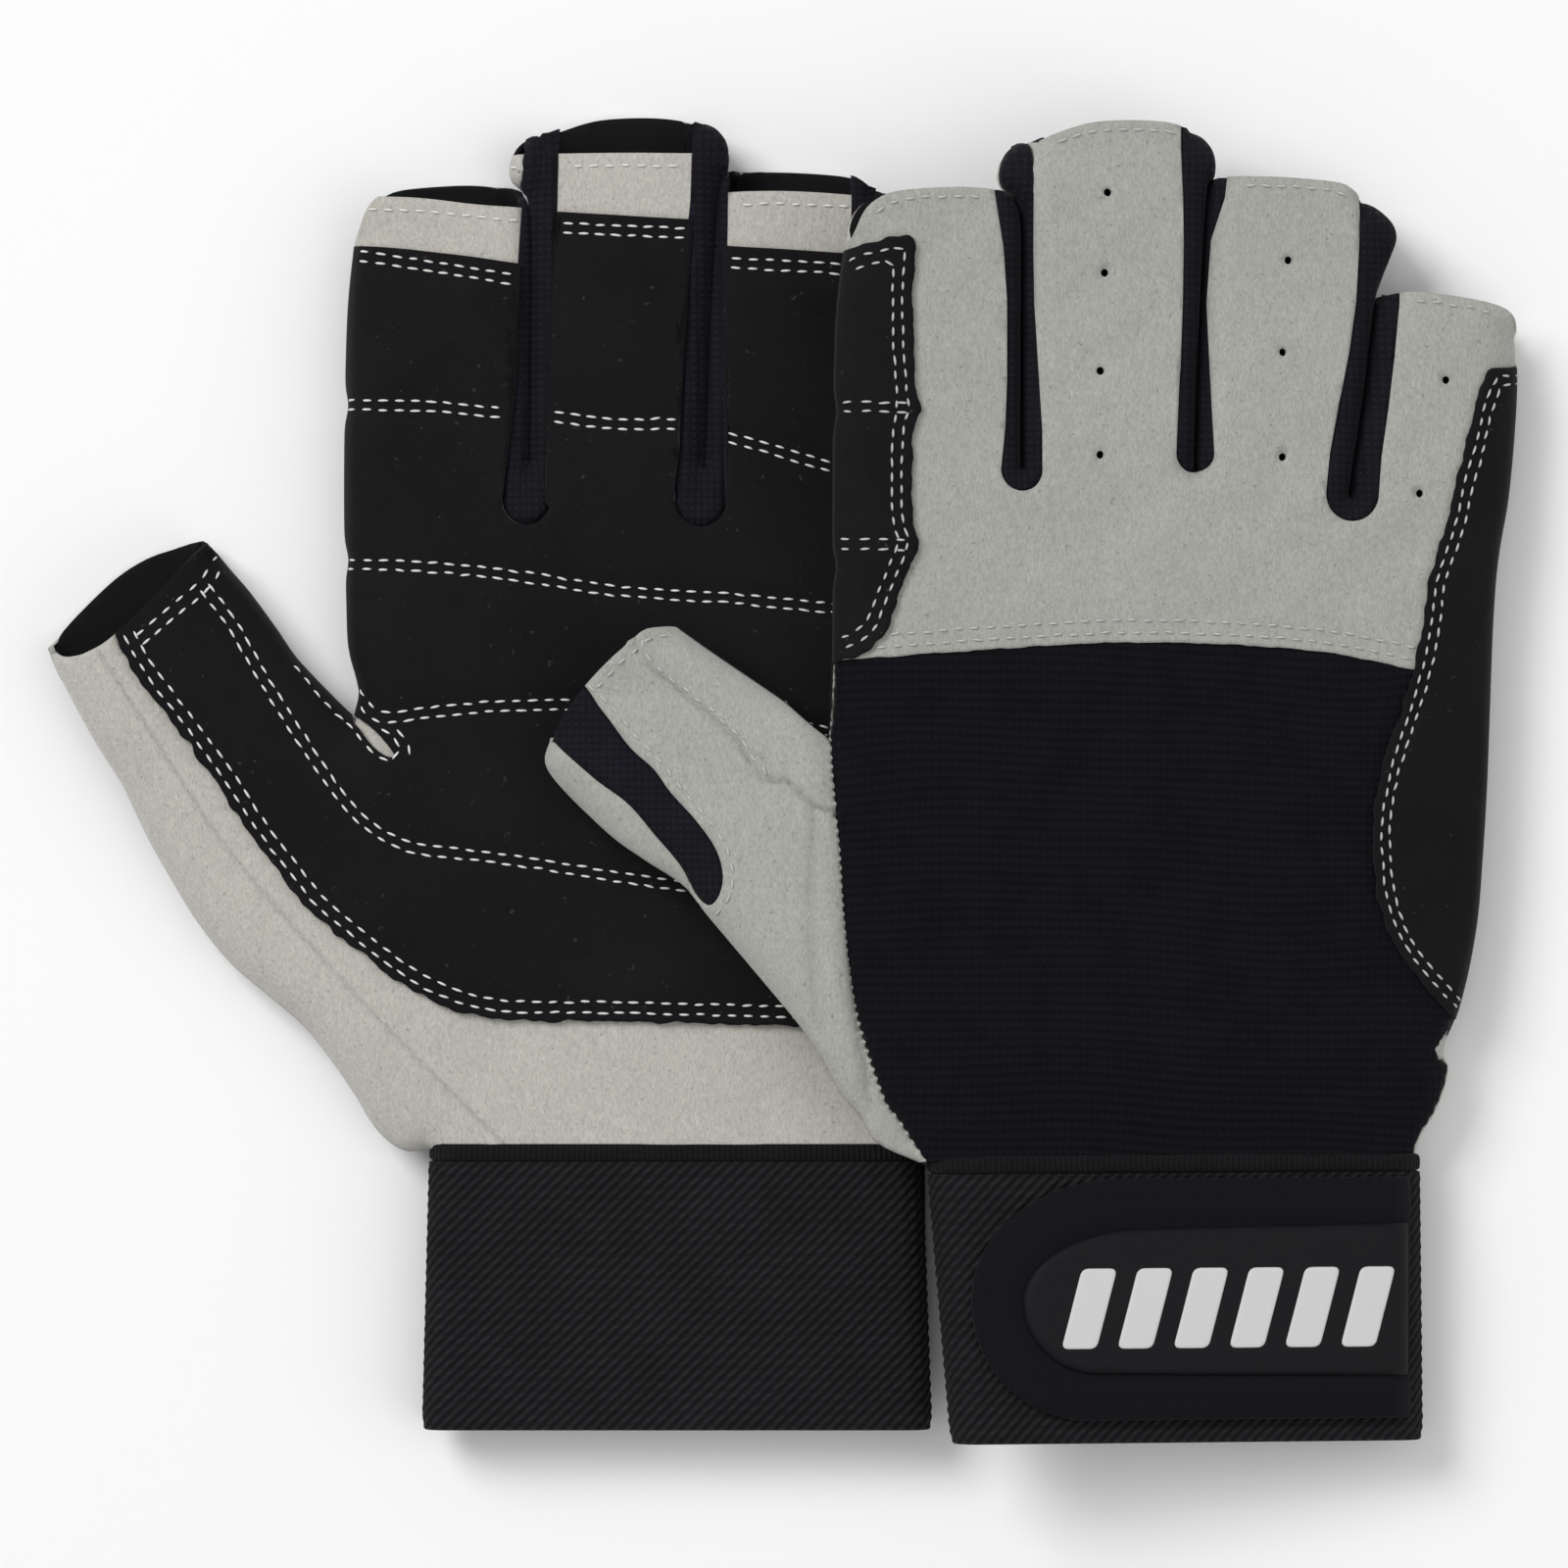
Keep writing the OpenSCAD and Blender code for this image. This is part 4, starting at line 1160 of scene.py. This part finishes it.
def cuff(glove):
    """Woven elastic with slanted cords that dip between its rows."""
    def twill(s, v):
        cord = 0.5 + 0.5 * np.cos(2 * math.pi * (CORDS * s / TURN + CORD_RISE * v))
        row = 0.5 + 0.5 * np.cos(2 * math.pi * ROW_RISE * v)
        return (0.20 * cord + 0.14 * cord * row) * float(smooth((v - 0.8) / 1.2)) - 0.12

    step = 0.36 * COARSE
    rows = np.arange(0.8, CUFF_LENGTH - 0.1, step)[::-1]
    levels = [(CUFF_LENGTH, 0.3)] + [(v, 0.0) for v in rows]
    levels += [(0.3, 0.1), (0.0, 0.35), (0.0, 0.65), (0.4, 0.9), (6.0, 0.95), (20.0, 0.95),
               (CUFF_LENGTH, 0.95)]
    tube(glove, "cuff", int(CUFF_ROUND / step), levels, twill, ELASTIC, CUFF_N, CUFF_HALF)


def wrist_seam(glove):
    """The overlocked edge where the cuff meets the hand: threads wrapped side by side."""
    def wraps(s, _):
        return 0.05 * np.cos(2 * math.pi * WRAPS * s)

    levels = [(40.9, 0.6), (40.7, 0.15), (40.4, 0.0), (39.9, -0.05), (39.4, -0.05), (38.9, 0.0), (38.6, 0.2),
              (38.4, 0.7), (38.5, 1.1), (40.7, 1.1)]
    tube(glove, "wrist_seam", int(CUFF_ROUND / (0.2 * COARSE)), levels, wraps, EDGING, SEAM_N, SEAM_HALF)


STRAP_V = 20.5
STRAP_END, STRAP_SEWN = -30.6, 33.0
STRAP_HALF, PATCH_HALF = 17.15, 10.3
# Levels: the strap and the loop tape, and the patch, its bars and the hook tape as steps from the strap
STRAP_TOP, LOOP_TOP = 10.45, 8.8
PATCH_RISE, BAR_RISE, HOOK_DROP = 0.62, 0.22, 1.25
PATCH_END = -23.4
BARS, BAR_PITCH, BAR_WIDTH, BAR_SLANT = 6, 8.1, 5.1, 3.0
BAR_LOW, BAR_TOP = 13.6, 25.0
HOOK_TAPE = [(-12, 6.5), (6, 6.5), (6, 34.5), (-12, 34.5)]
LOOP_TAPE = [(-14, 6), (13, 6), (13, 35), (-14, 35)]


def closed(corners, step):
    """Points about a step apart round a polygon."""
    return resample(np.vstack([corners, corners[:1]]), step)[:-1]


def tongue(left, right, middle, half, above, below, slope=0.0):
    """Outline of a tab with an oval left end, which is above or below times its half width long."""
    turn = np.linspace(math.pi / 2, 3 * math.pi / 2, 40)
    reach = np.where(turn < math.pi, above, below) * half
    arc = np.stack([left + reach * (1 + np.cos(turn)), middle + half * np.sin(turn)], 1)
    top = resample([(right, middle + half + slope), (arc[0, 0], arc[0, 1])], 1.2)
    low = resample([(arc[-1, 0], arc[-1, 1]), (right, middle - half - slope)], 1.2)
    side = resample([(right, middle - half - slope), (right, middle + half + slope)], 1.2)
    return np.vstack([top[:-1], arc[:-1], low[:-1], side[:-1]])


def tab(glove, name, outline, top, thick, material, node, round_by=1.0, step=1.1):
    """A closed flat piece on the strap, with rounded edges. top gives its outer level over the plane."""
    loop = np.vstack([outline, outline[:1]])
    rings = [outline]
    for inset in TAB_ROWS:
        ring = shifted(outline, inset)
        ring = ring[inside(ring, outline)]
        rings.append(ring[np.abs(nearest(ring, loop)) > inset * 0.9])
    cloud = grid(outline.min(0), outline.max(0), step, step, 0.0)
    cloud = cloud[inside(cloud, outline)]
    cloud = cloud[np.abs(nearest(cloud, loop)) > 1.2]
    count = len(outline)
    p, tri = triangulate(np.vstack(rings + [cloud]), [(i, (i + 1) % count) for i in range(count)])
    tri = facing(p, tri[inside(p[tri].mean(1), outline)], not glove.palm_up)
    t = np.clip(np.abs(nearest(p, loop)) / round_by, 0, 1)
    bevel = round_by * 0.55 * (1 - np.sqrt(np.clip(1 - (1 - t) ** 2, 0, 1)))
    n = top(p)
    outer = np.column_stack([p, n - np.minimum(bevel, thick * 0.8)])
    under = np.column_stack([p, n - thick])
    size = len(p)
    faces = tri.tolist() + (tri[:, ::-1] + size).tolist()
    faces += [(j, i, i + size, j + size) for (i, j), _ in rims(tri)]
    piece = make_mesh(f"{glove.name}_{name}", glove.world(np.vstack([outer, under])), faces, [material],
                      uv=np.vstack([p, p]))
    if node:
        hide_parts(f"{glove.name}_{node}")
    return piece


def strap_level(p):
    """The strap's outer level: flat, dipping at its free end and over the cuff's edge."""
    n = STRAP_TOP - 0.9 * smooth((-20 - p[:, 0]) / 9) - 2.6 * smooth((p[:, 0] - 29.6) / 5.5)
    return n + 0.10 * ripple(p, 18, 71)


def strap(glove):
    """Wrist strap, its hook tape, the rubber patch and the plain bars on it."""
    outline = tongue(STRAP_END, STRAP_SEWN + 0.4, STRAP_V, STRAP_HALF, 1.25, 0.98)
    patch = tongue(PATCH_END, STRAP_SEWN - 0.1, STRAP_V - 0.2, PATCH_HALF, 1.75, 1.05, slope=0.6)
    patch_loop = np.vstack([patch, patch[:1]])

    def cloth(p):
        gap = np.abs(nearest(p, patch_loop))
        outside = ~inside(p, patch)
        welt = 0.28 * np.exp(-((gap - 2.3) / 0.8) ** 2) - 0.35 * np.exp(-(gap / 0.7) ** 2)
        return strap_level(p) + welt * outside - 0.3 * ~outside

    def rubber_level(p):
        return strap_level(p) + PATCH_RISE

    pieces = [tab(glove, "strap", outline, cloth, 1.2, STRAP_CLOTH, "strap", 1.0, 0.9),
              tab(glove, "strap_patch", patch, rubber_level, 1.0, RUBBER, "strap_patch", 1.3)]
    pieces.append(tab(glove, "hook_tape", closed(HOOK_TAPE, 1.5), lambda p: strap_level(p) - HOOK_DROP, 0.45,
                      STRAP_CLOTH, "hook_pad", 0.4, 1.5))
    for k in range(BARS):
        u = STRAP_SEWN - 10.6 - BAR_PITCH * k
        corners = [(u, BAR_LOW), (u + BAR_WIDTH, BAR_LOW), (u + BAR_WIDTH + BAR_SLANT, BAR_TOP),
                   (u + BAR_SLANT, BAR_TOP)]
        pieces.append(tab(glove, f"strap_bar_{k + 1}", closed(rounded(np.array(corners), 1.0), 0.5),
                          lambda p: rubber_level(p) + BAR_RISE, 0.35, PRINT,
                          None if k else "strap_emblem", 0.25, 1.2))
    for piece in pieces:
        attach(piece, f"{glove.name}_strap")
    tape = tab(glove, "loop_tape", closed(LOOP_TAPE, 1.5), lambda p: np.full(len(p), LOOP_TOP), 0.7,
               STRAP_CLOTH, "loop_pad", 0.5, 1.5)
    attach(tape, f"{glove.name}_hand")


# ---------------------------------------------------------------- the stage
def light(name, place, aim, size, power):
    data = bpy.data.lights.new(name, "AREA")
    data.shape, data.size, data.energy = "SQUARE", size, power
    lamp = bpy.data.objects.new(name, data)
    bpy.context.scene.collection.objects.link(lamp)
    lamp.location = place
    lamp.rotation_euler = (Vector(aim) - Vector(place)).to_track_quat("-Z", "Y").to_euler()


def stage():
    """A pale floor, soft daylight from above, and the camera straight overhead."""
    low, high = BOUNDS_AT_LOAD
    reach = 20 * (high[0] - low[0])
    mesh = bpy.data.meshes.new("floor")
    mesh.from_pydata([(-reach, -reach, 0), (reach, -reach, 0), (reach, reach, 0), (-reach, reach, 0)], [],
                     [(0, 1, 2, 3)])
    mesh.materials.append(floor_finish())
    floor = bpy.data.objects.new("floor", mesh)
    bpy.context.scene.collection.objects.link(floor)
    floor.location.z = low[2] - 0.0002
    light("key", (-1.7, 1.5, 2.3), (0, 0, 0), 1.5, 66)
    light("fill", (1.8, -0.4, 1.8), (0, 0, 0), 2.4, 18)
    light("top", (0.0, 0.0, 3.4), (0, 0, 0), 2.8, 20)
    world = bpy.data.worlds.new("studio")
    bpy.context.scene.world = world
    world.use_nodes = True
    world.node_tree.nodes["Background"].inputs["Color"].default_value = (1, 1, 1, 1)
    world.node_tree.nodes["Background"].inputs["Strength"].default_value = 0.31
    bpy.context.scene.view_settings.view_transform = "Standard"

    width = 1.065 * (high[0] - low[0])
    camera_data = bpy.data.cameras.new("overhead")
    distance = 1.6
    camera_data.sensor_width = 36
    camera_data.lens = 36 * (distance - 0.015) / width
    camera = bpy.data.objects.new("overhead", camera_data)
    bpy.context.scene.collection.objects.link(camera)
    camera.location = ((low[0] + high[0]) / 2 - 0.0006, (low[1] + high[1]) / 2, distance)
    bpy.context.scene.camera = camera


# ---------------------------------------------------------------- assembly
for side in ("left", "right"):
    glove = Glove(side)
    back_face(glove)
    palm_face(glove)
    cuff(glove)
    wrist_seam(glove)
    strap(glove)
stage()
